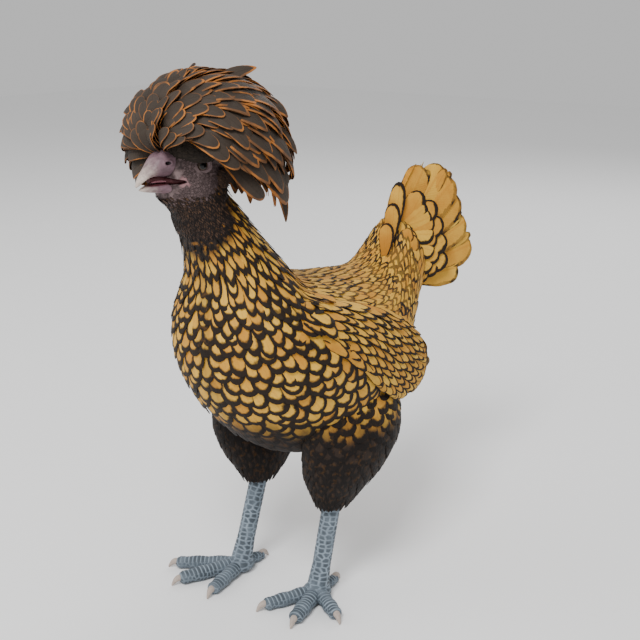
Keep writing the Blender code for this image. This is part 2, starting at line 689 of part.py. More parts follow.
def build_wing(side, name, torso, parts, cutters):
    """A folded wing: a pad, four rows of coverts and the long quills below them."""
    draw = random.Random(SEED + int(side))
    wing = wing_form(side, name, parts, WING_PAD_INSET, 12, 1)
    feathers = bpy.data.collections.new(name + "_feathers")
    bpy.context.scene.collection.children.link(feathers)
    for k in range(WING_QUILLS):
        share = k / (WING_QUILLS - 1)
        u_tip = 6.0 + 1.0 * math.sin(math.pi * min(share + 0.12, 1.0)) * (1 - 0.25 * share)
        v_tip = 0.84 - 0.70 * share
        wing_vane(u_tip, v_tip, 0.72 - 0.5 * share, 2.9, WING_QUILL_HALF, side,
                  (0.4, 0.8, 1.0, 0.85, 0.36), 0.0, QUILL_TILT, 0.0, feathers)
    for u_tip, count, v_low, v_high, length, half in WING_ROWS:
        for k in range(count):
            v = v_low + (v_high - v_low) * k / (count - 1)
            wing_vane(u_tip, v, v, length, half, side, (0.5, 0.95, 0.95, 0.4), 0.0008,
                      WING_TILT, draw.uniform(-0.1, 0.1), feathers)
    fuse(wing, feathers)
    bpy.data.collections.remove(feathers)
    apply_boolean(wing, [grown(torso, cutters)], "DIFFERENCE")
    return wing


def fan_vane(root, tip, half, outward, bow, shape, name, cutters):
    """A tail feather from root to tip, bowed outward in the middle."""
    steps = len(shape) - 1
    path, normals = [], []
    for k in range(steps + 1):
        s = k / steps
        path.append(root.lerp(tip, s) + outward * bow * 4 * s * (1 - s))
        normals.append(outward)
    return vane(name, path, normals, [half * share for share in shape], cutters)


def fan_outward(rows, i, side):
    """Way out of the fan at one feather, leaning so that it lies over the next one down."""
    along = rows[i][1] - rows[i][0]
    across = rows[min(i + 1, len(rows) - 1)][1] - rows[max(i - 1, 0)][1]
    out = across.cross(along).normalized()
    if out.x < 0:
        out = -out
    lean = -across.normalized() * math.tan(SHINGLE_TILT)
    out = (out + lean).normalized()
    return mirrored(out, side)


def build_tail(torso, parts, cutters):
    """Fourteen broad tail feathers in a tent, coverts over their roots, on a short stub."""
    draw = random.Random(SEED)
    base = body_ring(BODY_END, 16, GAP)
    middle = sum(base, Vector()) / len(base)
    away = Vector((0, 1, 0.10)).normalized()
    rings = []
    for share, size in ((0.0, 0.97), (0.35, 0.93), (0.7, 0.78), (1.0, 0.5)):
        rings.append([middle + (p - middle) * size + away * TAIL_STUB * share for p in base])
    tail = put(mesh_from_rings(rings, "tail"), "tail", parts)
    feathers = bpy.data.collections.new("tail_feathers")
    bpy.context.scene.collection.children.link(feathers)
    for side in (1.0, -1.0):
        for i, (root, tip, half) in enumerate(TAIL):
            end = tip + Vector((0, draw.uniform(-0.002, 0.002), draw.uniform(-0.002, 0.002)))
            fan_vane(mirrored(root, side), mirrored(end, side), half, fan_outward(TAIL, i, side),
                     0.0022, (0.22, 0.52, 0.84, 1.0, 0.94, 0.40), "quill", feathers)
        for i, (root, tip, half) in enumerate(TAIL_COVERTS):
            lift = Vector((0.0032, 0, 0))
            end = tip + lift + Vector((0, draw.uniform(-0.002, 0.002), draw.uniform(-0.002, 0.002)))
            fan_vane(mirrored(root, side), mirrored(end, side), half,
                     fan_outward(TAIL_COVERTS, i, side), 0.002, (0.35, 0.9, 0.95, 0.38),
                     "covert", feathers)
    fuse(tail, feathers)
    bpy.data.collections.remove(feathers)
    apply_boolean(tail, [grown(torso, cutters)], "DIFFERENCE")
    return tail


def build_thigh(leg, name, torso, parts, cutters):
    side = leg["side"]
    offset = leg["top"] - mirrored(LEGS["left"]["top"], side)
    rings = []
    steps = 2
    count = (len(THIGH) - 1) * steps
    for k in range(count + 1):
        x, y, z, half_x, half_y = spline(THIGH, k / steps)
        centre = Vector((x * side, y, z)) + offset * k / count
        ring = []
        for j in range(16):
            angle = 2 * math.pi * j / 16
            spread = Vector((half_x * math.cos(angle), half_y * math.sin(angle), 0))
            ring.append(centre + spread)
        rings.append(ring)
    thigh = put(mesh_from_rings(rings, name), name, parts)
    apply_boolean(thigh, [grown(torso, cutters)], "DIFFERENCE")
    wing_room = wing_form(side, "wing_room", cutters, -0.0022, 12, 1)
    apply_boolean(thigh, [wing_room], "DIFFERENCE")
    return thigh


def tube(points, radii, name, collection, sides=14, flat=1.0):
    """Round bar through points, its own radius at each one."""
    rings = []
    for i, centre in enumerate(points):
        ahead = points[min(i + 1, len(points) - 1)]
        behind = points[max(i - 1, 0)]
        along = (ahead - behind).normalized()
        across = along.cross(Vector((0, 0, 1)))
        if across.length < 0.3:
            across = Vector((1, 0, 0))
        across.normalize()
        up = across.cross(along).normalized()
        ring = []
        for k in range(sides):
            angle = 2 * math.pi * k / sides
            ring.append(centre + (across * math.cos(angle) + up * math.sin(angle) * flat) * radii[i])
        rings.append(ring)
    return put(mesh_from_rings(rings, name), name, collection)


def build_shank(leg, name, parts):
    """Shank with its scutes as steps, each one standing over the next."""
    top, ankle = leg["top"], leg["ankle"]
    rings = []
    for k in range(SHANK_SCUTES):
        for t, step in ((k / SHANK_SCUTES, -SCUTE_STEP), ((k + 0.92) / SHANK_SCUTES, SCUTE_STEP)):
            centre = top.lerp(ankle, t)
            radius = SHANK_RADIUS + (ANKLE_RADIUS - SHANK_RADIUS) * max(0.0, t - 0.7) / 0.3
            radius *= 1 + step
            ring = [centre + Vector((math.cos(a) * radius * 0.92, math.sin(a) * radius, 0))
                    for a in (2 * math.pi * j / 12 for j in range(12))]
            rings.append(ring)
    for point in rings[0]:
        point.z = top.z - GAP
    return put(mesh_from_rings(rings, name), name, parts)


def build_toe(base, tip, radius, label, collection):
    """Toe with stepped scutes, from the ankle pad to the root of the claw."""
    start = base + Vector((0, 0, TOE_HEIGHT + 0.001))
    end = Vector((tip.x, tip.y, TOE_HEIGHT * radius / 0.0062))
    points, sizes = [], []
    for k in range(TOE_SCUTES):
        for t, step in ((k / TOE_SCUTES, SCUTE_STEP), ((k + 0.9) / TOE_SCUTES, -SCUTE_STEP)):
            points.append(start.lerp(end, t * 0.96))
            sizes.append(radius * (1.02 - 0.12 * t) * (1 + step))
    points.append(end)
    sizes.append(radius * 0.55)
    return tube(points, sizes, label, collection, 9, 0.92)


def floor_block(collection):
    """Block under the floor, that leaves a small flat on all that reaches it."""
    outline = [(-0.2, 0.0), (-0.2, -0.05), (0.2, -0.05), (0.2, 0.0)]
    return prism("floor", outline, 0.2, collection)


def build_foot(leg, key, parts, cutters):
    """Ankle pad and four toes in one piece, flat below, and a claw on each toe."""
    ankle = leg["ankle"]
    base = Vector((ankle.x, ankle.y, 0.0))
    pad = ball("foot_" + key, base + Vector((0, -0.001, 0.0062)), Vector((0.0112, 0.0118, 0.0066)),
               parts, 8, 14)
    toes = [build_toe(base, tip, radius, label, cutters) for label, tip, radius in leg["toes"]]
    apply_boolean(pad, toes, "UNION")
    apply_boolean(pad, [floor_block(cutters)], "DIFFERENCE")
    shank = bpy.data.objects["shank_" + key]
    apply_boolean(pad, [grown(shank, cutters)], "DIFFERENCE")
    for label, tip, radius in leg["toes"]:
        along = (Vector((tip.x, tip.y, 0)) - base).normalized()
        root = Vector((tip.x, tip.y, TOE_HEIGHT)) - along * 0.0015
        points = []
        for t in (0.0, 0.35, 0.7, 1.0):
            drop = Vector((0, 0, 0.0012 * math.sin(math.pi * t) - (TOE_HEIGHT - CLAW_REST) * t * t))
            points.append(root + along * CLAW_LENGTH * t + drop)
        sizes = [CLAW_RADIUS * share for share in (1.0, 0.86, 0.52, 0.24)]
        claw = tube(points, sizes, f"claw_{label}_{key}", parts, 6)
        apply_boolean(claw, [grown(pad, cutters)], "DIFFERENCE")
        apply_boolean(claw, [floor_block(cutters)], "DIFFERENCE")
    return pad


def stance_place(parts):
    """Shift that brings the middle of the whole outline over the origin."""
    spots = [v.co for piece in parts.objects if piece.type == "MESH" for v in piece.data.vertices]
    middle_x = (min(p.x for p in spots) + max(p.x for p in spots)) / 2
    middle_y = (min(p.y for p in spots) + max(p.y for p in spots)) / 2
    return (-middle_x, -middle_y, 0.0)


def main():
    clear_scene()
    parts = bpy.data.collections.new("crested_hen")
    cutters = bpy.data.collections.new("hen_cutters")
    bpy.context.scene.collection.children.link(parts)
    bpy.context.scene.collection.children.link(cutters)
    head, neck, torso = build_body(parts)
    build_face(head, parts, cutters)
    build_ears(head, parts, cutters)
    build_crest(parts, cutters)
    build_tail(torso, parts, cutters)
    for key, leg in LEGS.items():
        build_wing(leg["side"], "wing_" + key, torso, parts, cutters)
        build_thigh(leg, "thigh_" + key, torso, parts, cutters)
        build_shank(leg, "shank_" + key, parts)
        build_foot(leg, key, parts, cutters)
    finishes = {key: material(key) for key in COLOURS}
    wanted = {
        "torso": "gold", "neck": "gold", "tail": "gold", "wing": "gold", "thigh": "dark_plume",
        "head": "face", "ear": "face", "crest": "crest", "beak": "horn", "claw": "horn",
        "eye": "eye", "tongue": "tongue", "shank": "slate", "foot": "slate",
    }
    stance = bpy.data.objects.new("stance", None)
    parts.objects.link(stance)
    stance.location = stance_place(parts)
    for piece in list(parts.objects):
        if piece.type != "MESH":
            continue
        piece.parent = stance
        piece.data.materials.clear()
        piece.data.materials.append(finishes[wanted[piece.name.split("_")[0]]])
        piece.data.shade_smooth()
        piece.data.set_sharp_from_angle(angle=math.radians(40))


main()
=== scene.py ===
"""Crested hen of the Polish breed, gold laced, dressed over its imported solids.

The hen is laid out about a point on the floor midway between its ankles, faces -Y and
has its left side at +X, in metres. STANCE is where that point lies in the frame.
"""

import math
import random

import bmesh
import bpy
import numpy as np
from bpy.props import FloatProperty, FloatVectorProperty, PointerProperty
from mathutils import Matrix, Vector


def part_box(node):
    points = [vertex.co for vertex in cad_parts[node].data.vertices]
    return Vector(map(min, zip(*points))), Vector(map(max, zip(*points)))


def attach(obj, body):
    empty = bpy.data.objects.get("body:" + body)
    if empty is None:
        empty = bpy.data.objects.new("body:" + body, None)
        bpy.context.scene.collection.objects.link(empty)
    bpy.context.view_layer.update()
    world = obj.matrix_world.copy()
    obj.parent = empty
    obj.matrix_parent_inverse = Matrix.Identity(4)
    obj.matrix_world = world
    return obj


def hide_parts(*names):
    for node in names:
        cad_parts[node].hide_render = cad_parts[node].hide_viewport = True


bl_info = {
    "name": "Crested Hen",
    "version": (1, 0, 0),
    "blender": (4, 5, 0),
    "location": "View3D > Sidebar > Hen",
    "description": "Skin, plumage, head, legs and studio of a gold laced crested hen",
    "category": "Object",
}

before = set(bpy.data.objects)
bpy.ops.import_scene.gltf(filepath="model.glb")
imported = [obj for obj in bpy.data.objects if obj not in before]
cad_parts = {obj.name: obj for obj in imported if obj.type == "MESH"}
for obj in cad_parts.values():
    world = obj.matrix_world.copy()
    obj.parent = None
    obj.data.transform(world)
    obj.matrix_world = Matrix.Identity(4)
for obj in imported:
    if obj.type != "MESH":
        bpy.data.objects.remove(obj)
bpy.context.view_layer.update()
SEED = 11

# Body sections from the face to the root of the tail. Each gives the underside point
# (y, z), the upper point (y, z) and the half width, all on the outside of the plumage.
BODY = [
    (-0.1085, 0.3260, -0.1005, 0.3655, 0.0125),
    (-0.1040, 0.3235, -0.0960, 0.3690, 0.0150),
    (-0.1000, 0.3205, -0.0890, 0.3730, 0.0172),
    (-0.0960, 0.3168, -0.0800, 0.3750, 0.0190),
    (-0.0928, 0.3132, -0.0690, 0.3720, 0.0200),
    (-0.0908, 0.3098, -0.0590, 0.3610, 0.0204),
    (-0.0894, 0.3074, -0.0555, 0.3460, 0.0212),
    (-0.0878, 0.3040, -0.0530, 0.3310, 0.0228),
    (-0.0806, 0.2922, -0.0430, 0.3180, 0.0262),
    (-0.0738, 0.2755, -0.0325, 0.3055, 0.0305),
    (-0.0704, 0.2588, -0.0210, 0.2925, 0.0355),
    (-0.0725, 0.2400, -0.0080, 0.2775, 0.0450),
    (-0.0735, 0.2160, 0.0040, 0.2630, 0.0560),
    (-0.0690, 0.1900, 0.0240, 0.2560, 0.0640),
    (-0.0570, 0.1650, 0.0440, 0.2515, 0.0690),
    (-0.0380, 0.1420, 0.0640, 0.2485, 0.0705),
    (-0.0110, 0.1210, 0.0860, 0.2460, 0.0700),
    (0.0230, 0.1110, 0.1070, 0.2440, 0.0645),
    (0.0600, 0.1160, 0.1220, 0.2450, 0.0560),
    (0.0970, 0.1310, 0.1340, 0.2490, 0.0475),
    (0.1300, 0.1540, 0.1430, 0.2570, 0.0400),
    (0.1570, 0.1800, 0.1500, 0.2675, 0.0330),
    (0.1730, 0.2060, 0.1550, 0.2770, 0.0255),
]
BODY_END = 22.0             # section where the torso meets the tail

# Beak sections: upper (y, z), lower (y, z), half width
BEAK_UPPER = [
    (-0.1015, 0.3615, -0.1050, 0.3420, 0.0098),
    (-0.1075, 0.3605, -0.1100, 0.3428, 0.0088),
    (-0.1130, 0.3565, -0.1155, 0.3432, 0.0072),
    (-0.1180, 0.3510, -0.1205, 0.3425, 0.0056),
    (-0.1235, 0.3465, -0.1250, 0.3405, 0.0038),
    (-0.1275, 0.3430, -0.1272, 0.3388, 0.0020),
    (-0.1299, 0.3388, -0.1291, 0.3380, 0.0006),
]
BEAK_LOWER = [
    (-0.1058, 0.3384, -0.1074, 0.3316, 0.0088),
    (-0.1110, 0.3388, -0.1116, 0.3324, 0.0074),
    (-0.1165, 0.3388, -0.1170, 0.3332, 0.0056),
    (-0.1220, 0.3378, -0.1220, 0.3342, 0.0036),
    (-0.1264, 0.3364, -0.1262, 0.3354, 0.0010),
]
TONGUE = [
    (-0.0960, 0.3390, -0.0960, 0.3375, 0.0036),
    (-0.1040, 0.3404, -0.1040, 0.3381, 0.0042),
    (-0.1110, 0.3412, -0.1110, 0.3391, 0.0036),
    (-0.1170, 0.3408, -0.1170, 0.3393, 0.0016),
]
NOSTRIL_AT = Vector((0.0088, -0.1088, 0.3520))

EYE_AT = Vector((0.0140, -0.0853, 0.3487))
EYE_RADIUS = 0.0052
EAR_AT = Vector((0.0200, -0.0716, 0.3392))
EAR_HALF = Vector((0.0022, 0.0046, 0.0058))

# Crest: an oval of feather tips that hangs lower at the back, combed back from the
# parting above the beak over a core half as large and a brow over the forehead
CREST_AT = Vector((0.0, -0.0655, 0.3640))
CREST_HALF = Vector((0.0580, 0.0550, 0.0465))
CREST_PART = Vector((0.0, -0.9950, -0.1000))    # way from the middle to the parting
CREST_FALL = Vector((0.0, 0.3500, -0.9370))     # way in which the long feathers hang
CREST_FALL_REACH = 0.62
CREST_CORE = 0.50
BROW_AT = Vector((0.0, -0.0830, 0.3640))
BROW_HALF = Vector((0.0245, 0.0250, 0.0165))
# Lower edge of the crest: place along the head, height near it, how much lower far out
FACE_LINE = [(-0.16, 0.3628, 0.0), (-0.104, 0.3618, 0.0), (-0.085, 0.3532, 0.0150),
             (-0.070, 0.3500, 0.0180), (-0.060, 0.3430, 0.0170), (-0.052, 0.3280, 0.0050),
             (-0.046, 0.3140, 0.0), (0.10, 0.3100, 0.0)]
FAR_FRINGE = 0.0300         # how much lower the crest hangs beside the face on the right
# Feathers that hang behind the ear and the neck, in two layers: degrees round from the
# left side to the back, reach of the tips from the neck, height of the tips
CREST_HANG_AT = Vector((0.0, -0.0580, 0.3560))
CREST_HANG_ROOT = 0.0170
CREST_HANGS_OUTER = [
    (2, 0.0500, 0.3370),
    (24, 0.0525, 0.3250),
    (46, 0.0520, 0.3170),
    (68, 0.0520, 0.3160),
    (88, 0.0530, 0.3170),
]
CREST_HANGS_INNER = [
    (13, 0.0430, 0.3260),
    (35, 0.0450, 0.3170),
    (57, 0.0450, 0.3130),
    (79, 0.0460, 0.3120),
]

# Wing sections: upper edge, lower edge, half thickness
WING = [
    (0.0480, -0.0280, 0.2390, 0.0560, -0.0330, 0.2260, 0.0060),
    (0.0500, -0.0070, 0.2450, 0.0620, -0.0150, 0.2140, 0.0100),
    (0.0500, 0.0260, 0.2390, 0.0670, 0.0110, 0.1960, 0.0120),
    (0.0500, 0.0610, 0.2280, 0.0680, 0.0370, 0.1740, 0.0120),
    (0.0480, 0.0960, 0.2140, 0.0650, 0.0660, 0.1545, 0.0115),
    (0.0450, 0.1210, 0.2000, 0.0590, 0.0950, 0.1465, 0.0118),
    (0.0420, 0.1390, 0.1850, 0.0520, 0.1220, 0.1480, 0.0104),
    (0.0400, 0.1440, 0.1690, 0.0460, 0.1370, 0.1580, 0.0080),
    (0.0385, 0.1540, 0.1660, 0.0440, 0.1490, 0.1600, 0.0050),
]

# Thigh sections for the left leg: centre, half width, half depth
THIGH = [
    (0.0400, 0.0400, 0.1780, 0.0170, 0.0420),
    (0.0450, 0.0415, 0.1520, 0.0240, 0.0540),
    (0.0480, 0.0390, 0.1260, 0.0280, 0.0525),
    (0.0455, 0.0325, 0.1040, 0.0265, 0.0410),
    (0.0430, 0.0265, 0.0860, 0.0185, 0.0260),
    (0.0420, 0.0210, 0.0720, 0.0112, 0.0135),
]

# Tail feathers of the left side, from the ridge down: root, tip, half width
TAIL = [
    (Vector((0.0030, 0.1620, 0.2680)), Vector((0.0040, 0.2000, 0.3140)), 0.0130),
    (Vector((0.0050, 0.1650, 0.2630)), Vector((0.0100, 0.2220, 0.3130)), 0.0135),
    (Vector((0.0070, 0.1680, 0.2560)), Vector((0.0170, 0.2280, 0.3030)), 0.0140),
    (Vector((0.0085, 0.1700, 0.2480)), Vector((0.0220, 0.2340, 0.2830)), 0.0140),
    (Vector((0.0095, 0.1720, 0.2390)), Vector((0.0260, 0.2380, 0.2620)), 0.0140),
    (Vector((0.0100, 0.1730, 0.2290)), Vector((0.0280, 0.2450, 0.2410)), 0.0135),
    (Vector((0.0100, 0.1730, 0.2190)), Vector((0.0270, 0.2260, 0.2240)), 0.0120),
]
TAIL_COVERTS = [
    (Vector((0.0040, 0.1590, 0.2700)), Vector((0.0050, 0.1650, 0.3010)), 0.0095),
    (Vector((0.0070, 0.1610, 0.2670)), Vector((0.0130, 0.1870, 0.3000)), 0.0100),
    (Vector((0.0100, 0.1640, 0.2610)), Vector((0.0200, 0.2030, 0.2890)), 0.0100),
    (Vector((0.0120, 0.1670, 0.2520)), Vector((0.0250, 0.2100, 0.2730)), 0.0100),
    (Vector((0.0130, 0.1690, 0.2410)), Vector((0.0280, 0.2130, 0.2550)), 0.0100),
    (Vector((0.0125, 0.1700, 0.2290)), Vector((0.0290, 0.2110, 0.2370)), 0.0095),
]

# Leg places for each side: hock end of the shank, ankle, toe tips and hallux tip
LEGS = {
    "left": {
        "side": 1.0,
        "top": Vector((0.0420, 0.0210, 0.0720)),
        "ankle": Vector((0.0405, 0.0050, 0.0130)),
        "toes": [
            ("inner", Vector((0.0205, -0.0365, 0.0)), 0.0060),
            ("middle", Vector((0.0520, -0.0385, 0.0)), 0.0064),
            ("outer", Vector((0.0735, -0.0140, 0.0)), 0.0060),
            ("hallux", Vector((0.0375, 0.0320, 0.0)), 0.0046),
        ],
    },
    "right": {
        "side": -1.0,
        "top": Vector((-0.0368, 0.0255, 0.0720)),
        "ankle": Vector((-0.0360, 0.0005, 0.0130)),
        "toes": [
            ("inner", Vector((-0.0265, -0.0455, 0.0)), 0.0060),
            ("middle", Vector((-0.0590, -0.0485, 0.0)), 0.0064),
            ("outer", Vector((-0.0805, -0.0305, 0.0)), 0.0060),
            ("hallux", Vector((-0.0345, 0.0255, 0.0)), 0.0046),
        ],
    },
}
SHANK_RADIUS = 0.0075
ANKLE_RADIUS = 0.0096
TOE_HEIGHT = 0.0050
CLAW_LENGTH = 0.0080
CLAW_RADIUS = 0.0024

FULLNESS = 0.10             # how much wider the body is below its middle
COLUMNS = 34                # body feathers in one row round the hen
BACK_COLUMNS = 84           # the same over the back, where the feathers are narrow
COAT_FIRST = 6.0            # body section where the neck plumage starts
NECK_LAST = 11.2            # body section where it ends at the sides
NECK_CAPE = 1.1             # how many sections further back it reaches on top
BELLY_FIRST = 15.6          # body section where the belly starts
RUMP_FIRST = 18.6           # body section where the rump starts
BACK_TURN = 1.12            # angle from the top out to which the saddle feathers lie
BREAST_TURN = 1.05          # angle from the top at which the rounded feathers begin
COAT_THICK = 0.00030        # thickness of a feather
SHOULDER_LIFT = 0.0018      # how far breast feathers stand off the front of the wing
CREST_LEAN = 0.30           # how far crest feathers turn their faces up
# Layers of crest feathers: how many, from and to which share of the way back, depth
CREST_LAYERS = [(560, 0.0, 0.24, 0.0), (270, 0.24, 0.50, 0.0), (200, 0.50, 1.1, 0.0),
                (320, 0.20, 1.1, -0.075)]
CREST_START = Vector((0.0, -0.950, -0.310)).normalized()    # way from the middle to the parting
# Feathers that stand out of the crest's outline: tip, length, half width
CREST_STRAYS = [
    (Vector((0.0279, -0.0437, 0.4096)), 0.034, 0.0052),
    (Vector((0.0439, -0.0312, 0.3770)), 0.040, 0.0056),
    (Vector((0.0485, -0.0276, 0.3526)), 0.044, 0.0044),
    (Vector((0.0426, -0.0322, 0.3303)), 0.040, 0.0050),
    (Vector((0.0040, -0.0760, 0.4088)), 0.028, 0.0050),
    (Vector((0.0330, -0.0200, 0.3640)), 0.040, 0.0050),
]
BROW_FLOOR = 0.3464         # height under which no brow feather ends
# Rims of the lids: half width, half height, how far out of the eye's middle, thickness
LID_RINGS = [(0.0043, 0.0036, 0.0034, 0.00055), (0.0053, 0.0044, 0.0037, 0.00085),
             (0.0064, 0.0054, 0.0036, 0.00060)]
# Sections of the lining of the mouth, as for the beak; its dark colour is painted shade inside the open mouth
MOUTH_SHADE_LINING = [(-0.0920, 0.3424, -0.0920, 0.3364, 0.0110), (-0.0970, 0.3426, -0.0970, 0.3362, 0.0124),
                (-0.1010, 0.3426, -0.1010, 0.3364, 0.0096), (-0.1050, 0.3424, -0.1050, 0.3370, 0.0050),
                (-0.1120, 0.3440, -0.1120, 0.3394, 0.0028), (-0.1190, 0.3440, -0.1190, 0.3396, 0.0020)]
FLESH = ["head", "neck", "torso", "thigh_left", "thigh_right"]


def stance():
    """Place in the frame of the point midway between the ankles."""
    low_left, high_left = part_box("eye_left")
    low_right, high_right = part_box("eye_right")
    middle = (low_left + high_left + low_right + high_right) / 4
    return middle - Vector((0.0, EYE_AT.y, EYE_AT.z))


STANCE = stance()


def settings():
    return bpy.context.scene.hen


def unit(vectors):
    return vectors / np.maximum(np.linalg.norm(vectors, axis=-1, keepdims=True), 1e-12)


def along_rows(rows, place):
    """Values at places along rows of numbers, smooth through every row."""
    table = np.asarray(rows, float)
    place = np.clip(np.asarray(place, float), 0.0, len(table) - 1.0)
    i = np.minimum(place.astype(int), len(table) - 2)
    t = (place - i)[..., None]
    before, start = table[np.maximum(i - 1, 0)], table[i]
    end, after = table[i + 1], table[np.minimum(i + 2, len(table) - 1)]
    turn = 2 * before - 5 * start + 4 * end - after
    bend = -before + 3 * start - 3 * end + after
    return 0.5 * (2 * start + (end - before) * t + turn * t * t + bend * t ** 3)


def body_point(place, angle, depth=0.0):
    """Point on the plumage at a section and an angle from the top, or below it by depth."""
    row = along_rows(BODY, place)
    low, high = row[..., 0:2], row[..., 2:4]
    middle, up = (low + high) / 2, (high - low) / 2
    half_up = np.linalg.norm(up, axis=-1)
    rise = (half_up - depth) / half_up * np.cos(angle)
    across = (row[..., 4] - depth) * np.sin(angle) * (1 - FULLNESS * np.cos(angle))
    spot = middle + up * rise[..., None]
    return np.stack([across, spot[..., 0], spot[..., 1]], -1)


def body_steps(place, angle):
    """Change of the body point for one section along, and for one radian round."""
    step = 0.03
    along = body_point(place + step, angle) - body_point(place - step, angle)
    around = body_point(place, angle + step) - body_point(place, angle - step)
    return along / (2 * step), around / (2 * step)


def clear_of_body(point, margin, first=0.0, last=BODY_END):
    """Push a point out of the body until it stands off by margin."""
    count = int((last - first) * 3)
    rows = along_rows(BODY, first + (last - first) * np.arange(count + 1) / count)
    for vy, vz, dy, dz, width in rows:
        low, high = Vector((0, vy, vz)), Vector((0, dy, dz))
        up = (high - low) / 2
        half_up = up.length
        up = up.normalized()
        offset = point - (low + high) / 2
        if abs(offset.dot(up.cross(Vector((1, 0, 0))))) > 0.005:
            continue
        rise = offset.dot(up) / (half_up + margin)
        lean = min(max(rise, -1.0), 1.0)
        side = offset.x / ((width + margin) * (1 - FULLNESS * lean))
        depth = math.hypot(rise, side)
        if 0.05 < depth < 1.0:
            flat = up * offset.dot(up) + Vector((offset.x, 0, 0))
            point = point + flat * (1 / depth - 1)
    return point


def mirrored(point, side):
    return Vector((point.x * side, point.y, point.z))


def in_scene(name, data):
    made = bpy.data.objects.new(name, data)
    bpy.context.scene.collection.objects.link(made)
    return made


def new_piece(mesh, name, material, replaced=(), sharp=50.0):
    """Put a mesh made about the hen's own point in the frame, as a piece of the hen."""
    mesh.transform(Matrix.Translation(STANCE))
    mesh.materials.clear()
    mesh.materials.append(material)
    mesh.shade_smooth()
    mesh.set_sharp_from_angle(angle=math.radians(sharp))
    piece = in_scene(name, mesh)
    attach(piece, "root")
    if replaced:
        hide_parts(*replaced)
    return piece


# Feathers
def feather_form(start, tip_power, side_power, root, rows, columns):
    """Outline of a feather: where its tip starts to round off and how sharply."""
    steps = 1 - (1 - np.linspace(0, 1, rows)) ** 1.6
    steps[-1] = 0.994
    reach = np.clip((steps - start) / (1 - start), 0, 1)
    bound = np.maximum(1 - reach ** tip_power, 0.0) ** (1 / side_power)
    stem = root + (1 - root) * np.clip(steps / min(start, 0.5), 0, 1) ** 0.8
    across = np.linspace(-1, 1, columns)
    across = np.sign(across) * np.abs(across) ** 0.8
    return {"start": start, "tip": tip_power, "side": side_power, "steps": steps,
            "bound": bound, "stem": stem, "across": across}


SCALE = feather_form(0.66, 2.3, 2.0, 0.45, 8, 7)
HACKLE = feather_form(0.45, 1.8, 1.5, 0.45, 8, 5)
SADDLE = feather_form(0.52, 2.0, 1.7, 0.45, 8, 5)
TUFT = feather_form(0.30, 1.6, 1.2, 0.60, 4, 3)
CREST_ROUND = feather_form(0.66, 2.2, 2.0, 0.50, 10, 5)
CREST_LONG = feather_form(0.50, 1.9, 1.4, 0.50, 12, 5)
QUILL = feather_form(0.84, 2.2, 2.0, 0.45, 10, 5)
RECTRIX = feather_form(0.74, 2.4, 2.0, 0.22, 14, 7)


def vane_mesh(name, form, path, out, half, cells, tint, cup=0.16, thick=COAT_THICK, low=None):
    """All feathers of one piece as closed vanes, with a place on each and a bake patch."""
    path, out = np.asarray(path, float), np.asarray(out, float)
    half, tint = np.asarray(half, float), np.asarray(tint, float)
    count, rows = path.shape[:2]
    columns = len(form["across"])
    along = unit(np.gradient(path, axis=1))
    out = unit(out - along * (out * along).sum(-1, keepdims=True))
    across = np.cross(along, out)
    place = form["across"][None, :] * form["bound"][:, None]
    wide = place * form["stem"][:, None]
    shift = wide[None] * half[:, None, None]
    drop = cup * wide[None] ** 2 * half[:, None, None]
    top = path[:, :, None] + across[:, :, None] * shift[..., None] - out[:, :, None] * drop[..., None]
    lift = out[:, :, None] * thick / 2
    spots = np.stack([top + lift, top - lift], 1).reshape(-1, 3)
    grid = np.arange(rows * columns).reshape(rows, columns)
    under = grid + rows * columns

    def quads(a, b, c, d):
        return np.stack([a.ravel(), b.ravel(), c.ravel(), d.ravel()], -1)

    upper = quads(grid[:-1, :-1], grid[:-1, 1:], grid[1:, 1:], grid[1:, :-1])
    lower = quads(under[:-1, :-1], under[1:, :-1], under[1:, 1:], under[:-1, 1:])
    left = quads(grid[:-1, 0], grid[1:, 0], under[1:, 0], under[:-1, 0])
    right = quads(grid[:-1, -1], under[:-1, -1], under[1:, -1], grid[1:, -1])
    root = quads(grid[0, :-1], under[0, :-1], under[0, 1:], grid[0, 1:])
    tip = quads(grid[-1, :-1], grid[-1, 1:], under[-1, 1:], under[-1, :-1])
    faces = np.concatenate([upper, lower, left, right, root, tip])
    size = 2 * rows * columns
    all_faces = (faces[None] + (np.arange(count) * size)[:, None, None]).reshape(-1, 4)
    mesh = bpy.data.meshes.new(name)
    mesh.from_pydata(spots.tolist(), [], all_faces.tolist())
    one = np.stack([0.5 + 0.5 * place, np.repeat(form["steps"][:, None], columns, 1)], -1)
    one = np.concatenate([one.reshape(-1, 2)] * 2)
    patch = np.stack([0.5 + 0.44 * np.concatenate([wide.ravel()] * 2), 0.05 + 0.9 * one[:, 1]], -1)
    cells = np.asarray(cells, float)
    cells = cells - cells.min(0)
    spread = cells.max(0) + 1
    loops = all_faces.ravel()
    vane_uv = np.tile(one, (count, 1))[loops]
    bake_uv = ((cells[:, None] + patch[None]) / spread).reshape(-1, 2)[loops]
    mesh.uv_layers.new(name="vane").data.foreach_set("uv", vane_uv.ravel())
    mesh.uv_layers.new(name="OFBake").data.foreach_set("uv", bake_uv.ravel())
    shade = mesh.attributes.new("tint", "FLOAT", "POINT")
    shade.data.foreach_set("value", np.repeat(tint, size))
    if low is not None:
        shade = mesh.attributes.new("low", "FLOAT", "POINT")
        shade.data.foreach_set("value", np.repeat(low, size))
    mesh.update()
    return mesh


def coat_rows(first, last, pitch):
    """Sections of the body at which rows of feathers end, a pitch apart on its side."""
    fine = np.linspace(first, last, 500)
    line = body_point(fine, np.full(500, 2.0))
    run = np.concatenate([[0.0], np.cumsum(np.linalg.norm(np.diff(line, axis=0), axis=1))])
    return np.interp(np.arange(int(run[-1] / pitch) + 1) * pitch, run, fine)


